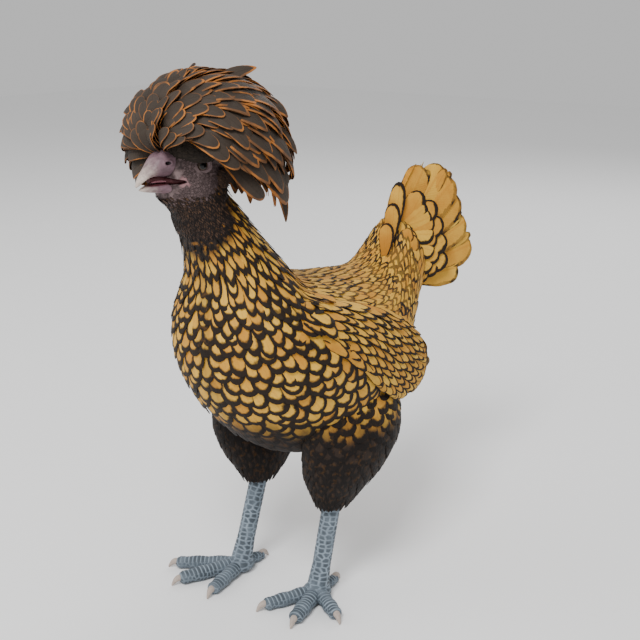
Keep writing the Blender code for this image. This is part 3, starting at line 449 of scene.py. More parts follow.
def wing_spots(along, up):
    """Places on the middle plane of the left wing, how far up they lie, its half thickness."""
    along, up = [grid.ravel() for grid in np.meshgrid(along, up)]
    rows = along_rows(WING, along)
    return rows[:, 3:6] + (rows[:, 0:3] - rows[:, 3:6]) * up[:, None], up, rows[:, 6]


def under_wing(points):
    """Which points lie under one of the folded wings."""
    spots, _, _ = wing_spots(np.linspace(1.4, 5.3, 26), np.linspace(0.22, 0.84, 8))
    gap = points[:, None, 1:] - spots[None, :, 1:]
    near = (gap ** 2).sum(-1).min(1) < 0.0052 ** 2
    return near & (np.abs(points[:, 0]) > 0.030)


def over_shoulder(path, steps):
    """Lay the feathers of the breast over the front of a folded wing."""
    spots, up, thick = wing_spots(np.linspace(0.0, 1.45, 18), np.linspace(0.02, 0.98, 16))
    face = spots[:, 0] + thick * np.sqrt(1 - (2 * up - 1) ** 2) * 0.97 + SHOULDER_LIFT
    flat = path.reshape(-1, 3)
    close = np.flatnonzero((np.abs(flat[:, 0]) > 0.034) & (flat[:, 1] > -0.040) & (flat[:, 1] < 0.050)
                           & (flat[:, 2] > 0.19) & (flat[:, 2] < 0.25))
    gap = ((flat[close][:, None, 1:] - spots[None, :, 1:]) ** 2).sum(-1)
    near = gap.argmin(1)
    share = np.clip((np.tile(steps, len(path))[close] - 0.15) / 0.35, 0, 1)
    lift = np.maximum(face[near] - np.abs(flat[close, 0]), 0) * share
    lift *= np.sqrt(gap.min(1)) < 0.0030
    flat[close, 0] += np.sign(flat[close, 0]) * lift
    return flat.reshape(path.shape)


def body_vanes(form, choose, length, depth, overlap, seed, pitch, first=COAT_FIRST, columns=COLUMNS,
               top=False, thick=COAT_THICK):
    """Feathers of the body's rows at the tips that choose picks."""
    draw = np.random.default_rng(seed)
    rows = coat_rows(first, BODY_END, pitch)
    row, column = [grid.ravel() for grid in np.meshgrid(np.arange(len(rows)), np.arange(columns),
                                                        indexing="ij")]
    near = np.gradient(rows)[row]
    tip = rows[row] + near * draw.uniform(-0.34, 0.34, len(row))
    turn = (column + 0.5 * (row % 2) + draw.uniform(-0.24, 0.24, len(row))) * 2 * math.pi / columns
    turn = (turn + math.pi) % (2 * math.pi) - math.pi
    point = body_point(tip, turn)
    keep = choose(tip, turn, point) & ~under_wing(point)
    tip, turn, row, column = tip[keep], turn[keep], row[keep], column[keep]
    along, around = body_steps(tip, turn)
    size = length(tip) * draw.uniform(0.87, 1.13, len(tip))
    half = np.linalg.norm(around, axis=-1) * 2 * math.pi / columns * overlap
    half = half * draw.uniform(0.84, 1.12, len(tip))
    back = size / np.linalg.norm(along, axis=-1)
    steps = form["steps"]
    place = tip[:, None] - back[:, None] * (1 - steps)[None]
    bend = draw.uniform(-0.45, 0.45, len(tip))[:, None] * (2 * math.pi / columns)
    angle = turn[:, None] + bend * (1 - steps)[None] ** 2
    sink = depth * (1 - steps)[None] ** 1.2 + draw.uniform(-0.0001, 0.0005, len(tip))[:, None]
    path = over_shoulder(body_point(place, angle, sink), steps)
    along, around = body_steps(place, angle)
    side = np.sign(np.sin(turn))[:, None, None]
    out = unit(np.cross(around, along)) - unit(around) * side * 0.07
    cells = np.stack([(column + columns // 2) % columns if top else column, row], -1)
    return vane_mesh("vanes", form, path, out, half, cells, draw.uniform(-1, 1, len(tip)), thick=thick)


# Shader helpers
def shader_node(tree, kind, **values):
    made = tree.nodes.new("ShaderNode" + kind)
    for key, value in values.items():
        setattr(made, key, value)
    return made


def feed(tree, socket, value):
    if isinstance(value, bpy.types.NodeSocket):
        tree.links.new(value, socket)
    else:
        socket.default_value = value


def calc(tree, operation, *values, clamp=False):
    made = shader_node(tree, "Math", operation=operation, use_clamp=clamp)
    for socket, value in zip(made.inputs, values):
        feed(tree, socket, value)
    return made.outputs[0]


def shift_vector(tree, operation, *values):
    made = shader_node(tree, "VectorMath", operation=operation)
    for socket, value in zip(made.inputs, values):
        feed(tree, socket, value)
    return made.outputs[0]


def object_place(tree):
    return shader_node(tree, "TexCoord").outputs["Object"]


def hen_place(tree):
    """Place about the point midway between the ankles."""
    return shift_vector(tree, "SUBTRACT", object_place(tree), tuple(STANCE))


def parts_of(tree, vector):
    made = shader_node(tree, "SeparateXYZ")
    feed(tree, made.inputs[0], vector)
    return made.outputs


def between(tree, value, low, high):
    """Zero up to low, one from high on, smooth in between."""
    made = shader_node(tree, "MapRange", interpolation_type="SMOOTHSTEP")
    feed(tree, made.inputs["Value"], value)
    feed(tree, made.inputs["From Min"], low)
    feed(tree, made.inputs["From Max"], high)
    return made.outputs["Result"]


def mixed(tree, share, one, two, blend="MIX"):
    made = shader_node(tree, "Mix", data_type="RGBA", blend_type=blend)
    feed(tree, made.inputs[0], share)
    for socket, value in ((made.inputs[6], one), (made.inputs[7], two)):
        feed(tree, socket, value if isinstance(value, bpy.types.NodeSocket) else (*value[:3], 1.0))
    return made.outputs[2]


def noise_at(tree, place, scale, detail=3.0, rough=0.55):
    made = shader_node(tree, "TexNoise")
    feed(tree, made.inputs["Vector"], place)
    made.inputs["Scale"].default_value = scale
    made.inputs["Detail"].default_value = detail
    made.inputs["Roughness"].default_value = rough
    return made.outputs["Fac"]


def new_group(name, inputs, outputs):
    tree = bpy.data.node_groups.new(name, "ShaderNodeTree")
    for label, kind, value in inputs:
        socket = tree.interface.new_socket(name=label, in_out="INPUT", socket_type=kind)
        if value is not None:
            socket.default_value = value
    for label, kind in outputs:
        tree.interface.new_socket(name=label, in_out="OUTPUT", socket_type=kind)
    return tree, tree.nodes.new("NodeGroupInput"), tree.nodes.new("NodeGroupOutput")


def use_group(tree, name, **values):
    made = shader_node(tree, "Group")
    made.node_tree = bpy.data.node_groups[name]
    for key, value in values.items():
        feed(tree, made.inputs[key.replace("_", " ")], value)
    return made.outputs


def add_vane_marks():
    """Edge lacing, midrib and barbs of a feather, from its place across and along it."""
    tree, inside, out = new_group(
        "Vane marks",
        [("Place", "NodeSocketVector", None), ("Lace", "NodeSocketFloat", 0.3),
         ("Start", "NodeSocketFloat", 0.6), ("Tip", "NodeSocketFloat", 2.0),
         ("Side", "NodeSocketFloat", 2.0), ("Ragged", "NodeSocketFloat", 0.1),
         ("Low", "NodeSocketFloat", 0.0)],
        [("Edge", "NodeSocketFloat"), ("Rib", "NodeSocketFloat"), ("Barbs", "NodeSocketFloat"),
         ("Along", "NodeSocketFloat")])
    u, v, _ = parts_of(tree, inside.outputs["Place"])
    across = calc(tree, "MULTIPLY_ADD", u, 2.0, -1.0)
    wide = calc(tree, "ABSOLUTE", across)
    past = calc(tree, "SUBTRACT", v, inside.outputs["Start"])
    reach = calc(tree, "DIVIDE", past, calc(tree, "SUBTRACT", 1.0, inside.outputs["Start"]), clamp=True)
    rim = calc(tree, "ADD", calc(tree, "POWER", reach, inside.outputs["Tip"]),
               calc(tree, "POWER", wide, inside.outputs["Side"]))
    spot = object_place(tree)
    rough = calc(tree, "SUBTRACT", noise_at(tree, spot, 280.0, 3.0), 0.5)
    inner = calc(tree, "SUBTRACT", 1.0, rim)
    inner = calc(tree, "MULTIPLY_ADD", rough, inside.outputs["Ragged"], inner)
    lean = calc(tree, "MULTIPLY_ADD", calc(tree, "MULTIPLY", across, inside.outputs["Low"]), 0.75, 1.0)
    lace = calc(tree, "MULTIPLY", inside.outputs["Lace"], lean)
    lace = calc(tree, "MULTIPLY", lace, calc(tree, "MULTIPLY_ADD", reach, 0.35, 0.80))
    patchy = calc(tree, "MULTIPLY_ADD", noise_at(tree, spot, 62.0, 1.0), 1.0, 0.50)
    lace = calc(tree, "MULTIPLY", lace, patchy)
    edge = calc(tree, "SUBTRACT", 1.0, between(tree, inner, lace, calc(tree, "MULTIPLY", lace, 1.5)))
    rib = calc(tree, "SUBTRACT", 1.0, between(tree, wide, 0.03, 0.12))
    phase = calc(tree, "ADD", calc(tree, "MULTIPLY", v, 150.0), calc(tree, "MULTIPLY", wide, -34.0))
    barbs = calc(tree, "MULTIPLY_ADD", calc(tree, "SINE", phase), 0.5, 0.5)
    for label, value in (("Edge", edge), ("Rib", rib), ("Barbs", barbs), ("Along", v)):
        feed(tree, out.inputs[label], value)


def add_plumage_zones():
    """Where the plumage turns dark: face and throat, belly and thighs, line of the breast."""
    outputs = [("Dark", "NodeSocketFloat"), ("Flecks", "NodeSocketFloat")]
    tree, _, out = new_group("Plumage zones", [], outputs)
    place = hen_place(tree)
    x, y, z = parts_of(tree, place)
    wander = calc(tree, "MULTIPLY", calc(tree, "SUBTRACT", noise_at(tree, place, 38.0), 0.5), 0.03)
    z = calc(tree, "ADD", z, wander)
    throat = between(tree, calc(tree, "MULTIPLY_ADD", y, -2.8, z), 0.476, 0.506)
    belly = between(tree, calc(tree, "MULTIPLY_ADD", y, 0.12, z), 0.163, 0.135)
    middle = between(tree, calc(tree, "ABSOLUTE", x), 0.0085, 0.0035)
    front = calc(tree, "MULTIPLY", between(tree, y, -0.02, -0.05), between(tree, z, 0.30, 0.27))
    line = calc(tree, "MULTIPLY", calc(tree, "MULTIPLY", middle, front), 0.30)
    dark = calc(tree, "MAXIMUM", calc(tree, "MAXIMUM", throat, belly), line)
    feed(tree, out.inputs["Dark"], dark)
    feed(tree, out.inputs["Flecks"], calc(tree, "MULTIPLY_ADD", between(tree, z, 0.15, 0.22), 0.30, 0.08))


def new_material(name, roughness=0.6):
    made = bpy.data.materials.new(name)
    made.use_nodes = True
    tree = made.node_tree
    shader = tree.nodes["Principled BSDF"]
    shader.inputs["Roughness"].default_value = roughness
    shader.inputs["Specular IOR Level"].default_value = 0.14
    return made, tree, shader


def bump(tree, shader, height, strength, distance):
    made = shader_node(tree, "Bump")
    made.inputs["Strength"].default_value = strength
    made.inputs["Distance"].default_value = distance
    feed(tree, made.inputs["Height"], height)
    feed(tree, shader.inputs["Normal"], made.outputs[0])


DARK_PLUMAGE = (0.025, 0.0165, 0.0122)      # ground of the feathers of throat, belly and thighs
DARK_EDGE = (0.009, 0.0066, 0.0058)         # their rims


def feather_finish(name, form, light, deep, lace, lace_width, zones=True, rib_shade=0.25, ragged=0.55,
                   roughness=0.62, fade=0.0, streaks=0.16):
    """Feathers of a light ground with a dark rim, turning dark where the plumage does."""
    made, tree, shader = new_material(name, roughness)
    place = shader_node(tree, "UVMap", uv_map="vane").outputs[0]
    marks = use_group(tree, "Vane marks", Place=place, Lace=lace_width, Start=form["start"],
                      Tip=form["tip"], Side=form["side"], Ragged=ragged,
                      Low=shader_node(tree, "Attribute", attribute_name="low").outputs["Fac"])
    tint = shader_node(tree, "Attribute", attribute_name="tint").outputs["Fac"]
    spot = object_place(tree)
    cloud = noise_at(tree, spot, 90.0)
    share = calc(tree, "MULTIPLY_ADD", tint, 0.42, calc(tree, "MULTIPLY", cloud, 0.95), clamp=True)
    share = calc(tree, "MULTIPLY_ADD", marks["Along"], 0.35, calc(tree, "SUBTRACT", share, 0.18), clamp=True)
    ground = mixed(tree, share, deep, light)
    streak = calc(tree, "MULTIPLY", marks["Barbs"], streaks)
    ground = mixed(tree, streak, ground, deep)
    ground = mixed(tree, calc(tree, "MULTIPLY", marks["Rib"], rib_shade), ground, deep)
    edge = marks["Edge"]
    if fade:
        patchy = between(tree, noise_at(tree, spot, 75.0, 2.0), 0.40, 0.64)
        edge = calc(tree, "MULTIPLY", edge, calc(tree, "MULTIPLY_ADD", patchy, fade, 1.0 - fade))
    colour = mixed(tree, edge, ground, lace)
    if zones:
        zone = use_group(tree, "Plumage zones")
        shaded = mixed(tree, marks["Edge"], DARK_PLUMAGE, DARK_EDGE)
        fleck = between(tree, noise_at(tree, spot, 260.0, 3.0), 0.52, 0.72)
        shaded = mixed(tree, calc(tree, "MULTIPLY", fleck, zone["Flecks"]), shaded, deep)
        colour = mixed(tree, zone["Dark"], colour, shaded)
    feed(tree, shader.inputs["Base Color"], colour)
    height = calc(tree, "MULTIPLY_ADD", marks["Rib"], 1.6, marks["Barbs"])
    bump(tree, shader, height, 0.35, 0.00025)
    return made


def shared(name, make):
    """The material called name, made the first time that it is asked for."""
    return bpy.data.materials.get(name) or make(name)


def colour_of(name):
    return tuple(getattr(settings(), name))


def scaled(colour, share, added=0.0):
    return tuple(min(c * share + added, 1.0) for c in colour)


# Closed skins over rings
def saved_mesh(made, name):
    """Mesh with what was made, which is then freed."""
    mesh = bpy.data.meshes.new(name)
    made.to_mesh(mesh)
    made.free()
    return mesh


def section_ring(low, high, half_width, sides, fullness=0.0):
    """Points round an oval that stands between a lower and an upper point."""
    centre = (low + high) / 2
    up = (high - low) / 2
    ring = []
    for k in range(sides):
        angle = 2 * math.pi * k / sides
        across = half_width * math.sin(angle) * (1 - fullness * math.cos(angle))
        ring.append(centre + up * math.cos(angle) + Vector((across, 0, 0)))
    return ring


def ringed(name, rings):
    """Closed skin over a row of rings; its map gives the share round and decimetres along."""
    sides = len(rings[0])
    made = bmesh.new()
    bmesh.ops.create_circle(made, cap_ends=True, segments=sides, radius=1.0)
    made.verts.ensure_lookup_table()
    loop = made.verts[:]
    edges = made.edges[:]
    spot, run, last = {}, 0.0, None
    for i, ring in enumerate(rings):
        if i:
            grown = bmesh.ops.extrude_edge_only(made, edges=edges)["geom"]
            fresh = {item for item in grown if isinstance(item, bmesh.types.BMVert)}
            edges = [item for item in grown if isinstance(item, bmesh.types.BMEdge)
                     and item.verts[0] in fresh and item.verts[1] in fresh]
            loop = [next(e.other_vert(vert) for e in vert.link_edges if e.other_vert(vert) in fresh)
                    for vert in loop]
        middle = sum((Vector(p) for p in ring), Vector()) / sides
        run += (middle - last).length if last else 0.0
        last = middle
        for j, (vert, point) in enumerate(zip(loop, ring)):
            vert.co = point
            spot[vert] = (j, run)
    bmesh.ops.contextual_create(made, geom=edges)
    bmesh.ops.recalc_face_normals(made, faces=made.faces[:])
    layer = made.loops.layers.uv.new("scales")
    for face in made.faces:
        wraps = len(face.verts) == 4 and {0, sides - 1} <= {spot[v][0] for v in face.verts}
        for corner in face.loops:
            j, along = spot[corner.vert]
            corner[layer].uv = ((sides if wraps and j == 0 else j) / sides, along / 0.1)
    return saved_mesh(made, name)


def ball(name, centre, half, rings=16, sides=24):
    made = bmesh.new()
    bmesh.ops.create_uvsphere(made, u_segments=sides, v_segments=rings, radius=1.0, calc_uvs=True)
    bmesh.ops.scale(made, vec=half, verts=made.verts[:])
    bmesh.ops.translate(made, vec=centre, verts=made.verts[:])
    return saved_mesh(made, name)


def rows_to_rings(rows, sides, steps):
    """Rings of a beak-like form from rows of two points and a half width."""
    rings = []
    for uy, uz, ly, lz, width in along_rows(rows, np.linspace(0, len(rows) - 1, steps)):
        rings.append(section_ring(Vector((0, ly, lz)), Vector((0, uy, uz)), width, sides))
    return rings


def joined(name, meshes):
    made = bmesh.new()
    for mesh in meshes:
        made.from_mesh(mesh)
        bpy.data.meshes.remove(mesh)
    return saved_mesh(made, name)


def with_modifier(mesh, kind, **values):
    """The mesh after one modifier."""
    piece = in_scene("work", mesh)
    modifier = piece.modifiers.new("work", kind)
    for key, value in values.items():
        setattr(modifier, key, value)
    graph = bpy.context.evaluated_depsgraph_get()
    shaped = bpy.data.meshes.new_from_object(piece.evaluated_get(graph))
    bpy.data.objects.remove(piece, do_unlink=True)
    return shaped


def cut_away(mesh, cutter):
    """The mesh without what lies in the cutter."""
    block = in_scene("cutter", cutter)
    shaped = with_modifier(mesh, "BOOLEAN", operation="DIFFERENCE", solver="EXACT", object=block)
    bpy.data.objects.remove(block, do_unlink=True)
    return shaped


# Skin
TRUNK_SIDES = 48
LIMB_SIDES = 32
TIP_ROOM = 0.0008           # how far the skin of the head lies under the tips
WING_INSET = Vector((0.0, 0.0065, 0.0055))      # skin of a wing under its edges and its face
THIGH_INSET = 0.0026
CORE_SHARE = 0.94           # share of the solid core and brow that the skin takes
SOCKET_SHIFT = Vector((0.0030, 0.0, 0.0))       # from the middle of the eye to that of its socket
SOCKET_HALF = Vector((0.0075, 0.0056, 0.0049))
GAPE_AT = Vector((0.0, -0.1090, 0.3394))        # where the mouth opens into the cheeks
GAPE_HALF = Vector((0.0200, 0.0165, 0.0026))
MOUTH_CORNER = (0.0150, 0.1000, 0.3392)         # corner of the mouth as absolute values, for both sides


def skin_depth(place):
    """How far the skin lies under the tips of the plumage."""
    neck = min(max((place - 6.5) / 1.5, 0.0), 1.0)
    return TIP_ROOM + (settings().coat_depth - 0.0004) * neck


def trunk_form():
    """Skin of head, neck and torso, rounded in front."""
    turns = np.arange(TRUNK_SIDES) * 2 * math.pi / TRUNK_SIDES

    def circle(place, depth):
        return body_point(np.full(TRUNK_SIDES, place), turns, depth)

    rings = [circle(place, skin_depth(place)) for place in np.linspace(0.45, BODY_END, 160)]
    for place, size in ((0.30, 0.93), (0.10, 0.78)):
        front = circle(place, skin_depth(0.0))
        rings.insert(0, front.mean(0) + (front - front.mean(0)) * size)
    return ringed("trunk", [ring.tolist() for ring in rings])


def thigh_form(key):
    turns = np.arange(LIMB_SIDES) * 2 * math.pi / LIMB_SIDES
    rings = [thigh_point(key, np.full(LIMB_SIDES, place), turns, THIGH_INSET).tolist()
             for place in np.linspace(0, 4.98, 48)]
    return ringed("thigh", rings)


def wing_form(side):
    """Pad of skin inside a folded wing."""
    rings = []
    for u in np.linspace(0.25, 6.2, 40):
        low, high, thick = wing_section(u, side)
        up = (high - low).normalized() * WING_INSET.y
        rings.append(section_ring(low + up, high - up, max(thick - WING_INSET.z, 0.0016), 20))
    return ringed("pad", rings)


def stub_form():
    """Rounded end of the body, out of which the tail grows."""
    base = body_point(np.full(LIMB_SIDES, BODY_END), np.arange(LIMB_SIDES) * 2 * math.pi / LIMB_SIDES, 0.003)
    middle = base.mean(0)
    away = np.array([0.0, 1.0, 0.10])
    return ringed("stub", [(middle + (base - middle) * size + away * 0.02 * share).tolist()
                           for share, size in ((-0.2, 1.0), (0.3, 0.93), (0.6, 0.75), (0.9, 0.45))])


def smooth_over(mesh, times):
    made = bmesh.new()
    made.from_mesh(mesh)
    for _ in range(times):
        bmesh.ops.smooth_vert(made, verts=made.verts[:], factor=0.5, use_axis_x=True, use_axis_y=True,
                              use_axis_z=True)
    made.to_mesh(mesh)
    made.free()


def build_skin():
    forms = [trunk_form()]
    for key, leg in LEGS.items():
        forms += [thigh_form(key), wing_form(leg["side"])]
    forms.append(ball("crest_core", CREST_AT, CREST_HALF * CREST_CORE * CORE_SHARE, 20, 32))
    forms.append(ball("brow", BROW_AT, BROW_HALF * CORE_SHARE, 16, 24))
    forms.append(stub_form())
    mesh = with_modifier(joined("skin", forms), "REMESH", mode="VOXEL", voxel_size=settings().skin_grain)
    smooth_over(mesh, 4)
    for side in (1.0, -1.0):
        middle = mirrored(EYE_AT + SOCKET_SHIFT, side)
        mesh = cut_away(mesh, ball("socket", middle, SOCKET_HALF))
    mesh = cut_away(mesh, ball("gape", GAPE_AT, GAPE_HALF))
    new_piece(mesh, "skin", skin_finish(), FLESH, 60)


def skin_finish():
    made, tree, shader = new_material("Dusky skin", 0.5)
    spot = object_place(tree)
    zone = use_group(tree, "Plumage zones")
    face = colour_of("face")
    cloud = noise_at(tree, spot, 160.0, 5.0)
    pale = scaled(face, 1.9, 0.02)
    deep = scaled(face, 0.42)
    bare = mixed(tree, between(tree, cloud, 0.35, 0.7), deep, pale)
    place = hen_place(tree)
    _, y, z = parts_of(tree, place)
    on_face = between(tree, y, -0.066, -0.078)
    high = calc(tree, "MULTIPLY", between(tree, z, 0.314, 0.326), between(tree, z, 0.3570, 0.3540))
    under = mixed(tree, zone["Dark"], scaled(colour_of("gold_deep"), 0.35), (0.014, 0.011, 0.010))
    colour = mixed(tree, calc(tree, "MULTIPLY", on_face, high), under, bare)
    corner = shader_node(tree, "VectorMath", operation="DISTANCE")
    feed(tree, corner.inputs[0], shift_vector(tree, "ABSOLUTE", place))
    corner.inputs[1].default_value = MOUTH_CORNER
    colour = mixed(tree, between(tree, corner.outputs["Value"], 0.0056, 0.0026), colour, (0.30, 0.165, 0.17))
    feed(tree, shader.inputs["Base Color"], colour)
    wrinkle = noise_at(tree, spot, 900.0, 4.0, 0.65)
    folds = noise_at(tree, spot, 260.0, 2.0)
    bump(tree, shader, calc(tree, "MULTIPLY_ADD", folds, 1.5, wrinkle), 0.5, 0.0006)
    return made


# Body plumage
def gold_finish(name, form, lace_width, **values):
    return feather_finish(name, form, colour_of("gold_light"), colour_of("gold_deep"),
                          colour_of("lace"), lace_width, **values)


def neck_edge(turn):
    """Section at which the hackle ends, at an angle from the top."""
    return NECK_LAST + NECK_CAPE * np.cos(turn)


def build_neck():
    depth, pitch = settings().coat_depth, settings().body_row

    def on_neck(tip, turn, point):
        return (tip < neck_edge(turn)) & ((tip > 7.4) | (np.abs(turn) < 1.9))

    mesh = body_vanes(HACKLE, on_neck, lambda tip: 0.026 + 0.010 * np.clip((tip - 8) / 3, 0, 1), depth,
                      0.76, SEED, pitch * 1.45, columns=38)
    new_piece(mesh, "hackle", gold_finish("Hackle feathers", HACKLE, 0.40))


def build_breast():
    depth, pitch = settings().coat_depth, settings().body_row
    finish = gold_finish("Breast feathers", SCALE, 0.62)
    for name, low, high in (("breast", 0.0, BELLY_FIRST), ("belly", BELLY_FIRST, 30.0)):
        mesh = body_vanes(SCALE, lambda tip, turn, point: (tip >= neck_edge(turn)) & (tip >= low)
                          & (tip < high) & (tip < RUMP_FIRST) & (np.abs(turn) > BREAST_TURN),
                          lambda tip: 0.027 + 0 * tip, depth, 0.64, SEED + 1, pitch)
        new_piece(mesh, name, finish)


def build_back():
    depth, pitch = settings().coat_depth, settings().body_row
    mesh = body_vanes(HACKLE, lambda tip, turn, point: tip >= RUMP_FIRST, lambda tip: 0.042 + 0 * tip,
                      depth, 0.84, SEED + 3, pitch * 1.45, columns=44, top=True)
    new_piece(mesh, "rump", gold_finish("Rump feathers", HACKLE, 0.21, fade=0.25, rib_shade=0.4))
    mesh = body_vanes(HACKLE, lambda tip, turn, point: (tip >= neck_edge(turn)) & (tip < RUMP_FIRST)
                      & (np.abs(turn) <= BACK_TURN), lambda tip: 0.044 + 0 * tip, depth, 0.84, SEED + 1,
                      pitch * 1.95, columns=BACK_COLUMNS, top=True)
    new_piece(mesh, "saddle", gold_finish("Saddle feathers", HACKLE, 0.21, fade=0.25, rib_shade=0.5,
                                          streaks=0.3))


def thigh_point(key, place, angle, depth=0.0):
    """Point on the plumage of one thigh, from its root at 0 to the hock at 5."""
    leg = LEGS[key]
    offset = np.array(leg["top"] - mirrored(LEGS["left"]["top"], leg["side"]))
    row = along_rows(THIGH, place)
    middle = row[..., 0:3] * np.array([leg["side"], 1, 1]) + offset * np.asarray(place)[..., None] / 5
    spread = np.stack([(row[..., 3] - depth) * np.cos(angle), (row[..., 4] - depth) * np.sin(angle),
                       np.zeros_like(angle)], -1)
    return middle + spread


def build_thigh_coat(key):
    finish = shared("Breast feathers of the thigh", lambda name: gold_finish(name, SCALE, 0.62))
    thigh_vanes(key, "thigh_top_" + key, SCALE, 20, np.arange(0.4, 2.5, 0.25), 1.15, finish)
    finish = shared("Dark feathers of the thigh", lambda name: gold_finish(name, HACKLE, 0.45))
    thigh_vanes(key, "thigh_coat_" + key, HACKLE, 26, np.arange(2.45, 5.05, 0.26), 1.35, finish)


def thigh_vanes(key, name, form, columns, rows, length, finish):
    """Rows of feathers round a thigh."""
    draw = np.random.default_rng(SEED + len(key))
    row, column = [g.ravel() for g in np.meshgrid(np.arange(len(rows)), np.arange(columns), indexing="ij")]
    count = len(row)
    tip = np.minimum(rows[row] + draw.uniform(-0.07, 0.07, count), 5.0)
    turn = (column + 0.5 * (row % 2) + draw.uniform(-0.20, 0.20, count)) * 2 * math.pi / columns
    steps = form["steps"]
    place = tip[:, None] - (length * draw.uniform(0.9, 1.1, count))[:, None] * (1 - steps)[None]
    angle = turn[:, None] + 0 * place
    sink = 0.0030 * (1 - steps)[None] ** 1.2 + draw.uniform(-0.0002, 0.0004, count)[:, None]
    path = thigh_point(key, place, angle, sink)
    around = thigh_point(key, place, angle + 0.02) - thigh_point(key, place, angle - 0.02)
    along = np.gradient(path, axis=1)
    out = unit(np.cross(around, along))
    flat = path - thigh_point(key, place, angle + math.pi)
    out = out * np.sign((out * flat).sum(-1, keepdims=True))
    half = np.linalg.norm(around[:, -1], axis=-1) / 0.04 * 2 * math.pi / columns * 0.70
    mesh = vane_mesh(name, form, path, out, half, np.stack([column, row], -1),
                     draw.uniform(-1, 1, count))
    new_piece(mesh, name, finish)


# Wings
def wing_section(u, side):
    """Lower edge, upper edge and half thickness of the wing at a place along it."""
    ux, uy, uz, lx, ly, lz, thick = along_rows(WING, u)
    return Vector((lx * side, ly, lz)), Vector((ux * side, uy, uz)), float(thick)


def wing_point(u, v, side, depth=0.0):
    """Point on the outer face of the wing, along it by u and up it by v."""
    low, high, thick = wing_section(u, side)
    bulge = math.sqrt(max(0.0, 1 - (2 * v - 1) ** 2))
    return low.lerp(high, v) + Vector(((thick * bulge + depth) * side, 0, 0))


class Vanes:
    """Feathers of one piece, gathered one at a time."""

    def __init__(self, form):
        self.form, self.paths, self.outs, self.halves, self.cells = form, [], [], [], []
        self.lows = []

    def add(self, path, out, half, cell, low=0.0):
        self.lows.append(low)
        self.paths.append([tuple(p) for p in path])
        self.outs.append([tuple(o) for o in out])
        self.halves.append(half)
        self.cells.append(cell)

    def mesh(self, name, seed, **values):
        tint = np.random.default_rng(seed).uniform(-1, 1, len(self.halves))
        return vane_mesh(name, self.form, self.paths, self.outs, self.halves, self.cells, tint,
                         low=np.array(self.lows), **values)


def wing_vane(vanes, u_tip, v_tip, v_root, length, half, side, lift, tilt, cell):
    path, out = [], []
    for s in vanes.form["steps"]:
        u = u_tip - length * (1 - s)
        v = v_root + (v_tip - v_root) * s
        point = wing_point(u, v, side, -0.0050 * (1 - s) + lift * s)
        path.append(clear_of_body(point, 0.0016, 10.0) if s > 0.3 else point)
        above = wing_point(u, min(v + 0.1, 1.0), side) - wing_point(u, max(v - 0.1, 0.0), side)
        forward = wing_point(u + 0.2, v, side) - wing_point(u - 0.2, v, side)
        normal = forward.cross(above) * side
        out.append(normal.normalized() + above.normalized() * math.tan(tilt))
    vanes.add(path, out, half, cell)


def wing_coverts(side, draw):
    """Rows of small feathers that narrow to a point, from the shoulder back."""
    vanes = Vanes(SADDLE)
    for row, u_tip in enumerate(np.arange(1.62, 5.5, 0.38)):
        low, high, _ = wing_section(u_tip, side)
        height = (high - low).length
        count = max(4, round(height / 0.0070))
        for k in range(count):
            v = 0.05 + 0.90 * (k + 0.5 * (row % 2)) / (count - 0.5)
            half = height / count * 0.66 * draw.uniform(0.90, 1.10)
            wing_vane(vanes, u_tip + draw.uniform(-0.10, 0.10), v, min(v + draw.uniform(0.10, 0.20), 0.98),
                      min(1.15, u_tip), half, side, draw.uniform(-0.0002, 0.0008), 0.12, (k, row))
    return vanes


def wing_quills(side, draw):
    """Greater coverts, narrow feathers of the lower edge, and the quills behind them."""
    vanes = Vanes(QUILL)
    for k in range(12):
        share = k / 11
        u_tip = 5.35 + 0.40 * math.sin(math.pi * share) + draw.uniform(-0.06, 0.06)
        wing_vane(vanes, u_tip, 0.90 - 0.80 * share, 0.94 - 0.66 * share, 1.7, 0.0042, side, 0.0003, 0.16,
                  (k, 1))
    for k in range(8):
        u_tip = 3.1 + 0.22 * k + draw.uniform(-0.08, 0.08)
        wing_vane(vanes, u_tip, 0.035 - 0.008 * (k % 3), 0.17, 1.6, 0.0031, side, 0.0004, 0.16, (k, 2))
    for k in range(15):
        share = k / 14
        u_tip = 6.40 + 1.15 * math.sin(math.pi * min(share + 0.12, 1.0)) * (1 - 0.25 * share)
        u_tip += draw.uniform(-0.08, 0.08)
        wing_vane(vanes, u_tip, 0.90 - 0.80 * share, 0.90 - 0.62 * share, 3.0, 0.0050, side, -0.0006, 0.22,
                  (k, 0))
    return vanes


def quill_finish(name):
    light, deep = scaled(colour_of("gold_light"), 0.9), scaled(colour_of("gold_deep"), 0.8)
    return feather_finish(name, QUILL, light, deep, colour_of("lace"), 0.26, zones=False)


def build_wing(key):
    side = LEGS[key]["side"]
    draw = random.Random(SEED + int(side))
    finish = shared("Wing coverts", lambda name: gold_finish(name, SADDLE, 0.28, zones=False))
    new_piece(wing_coverts(side, draw).mesh("coverts", SEED), "wing_coverts_" + key, finish, ["wing_" + key])
    finish = shared("Wing quills", quill_finish)
    new_piece(wing_quills(side, draw).mesh("quills", SEED), "wing_quills_" + key, finish)


# Tail
# Parts of each feather of the fan: turn, share of its length, share of its width
TAIL_PARTS = ((0.0, 1.0, 1.04), (0.15, 0.955, 0.42), (-0.15, 0.970, 0.40))
# Layers of the coverts: share of their length and width, how far they stand off
TAIL_COVERT_LAYERS = ((0.82, 1.0, 0.0030), (0.58, 0.90, 0.0042), (0.38, 0.90, 0.0052))
RING_COLUMNS = 26           # feathers in one row round the root of the tail
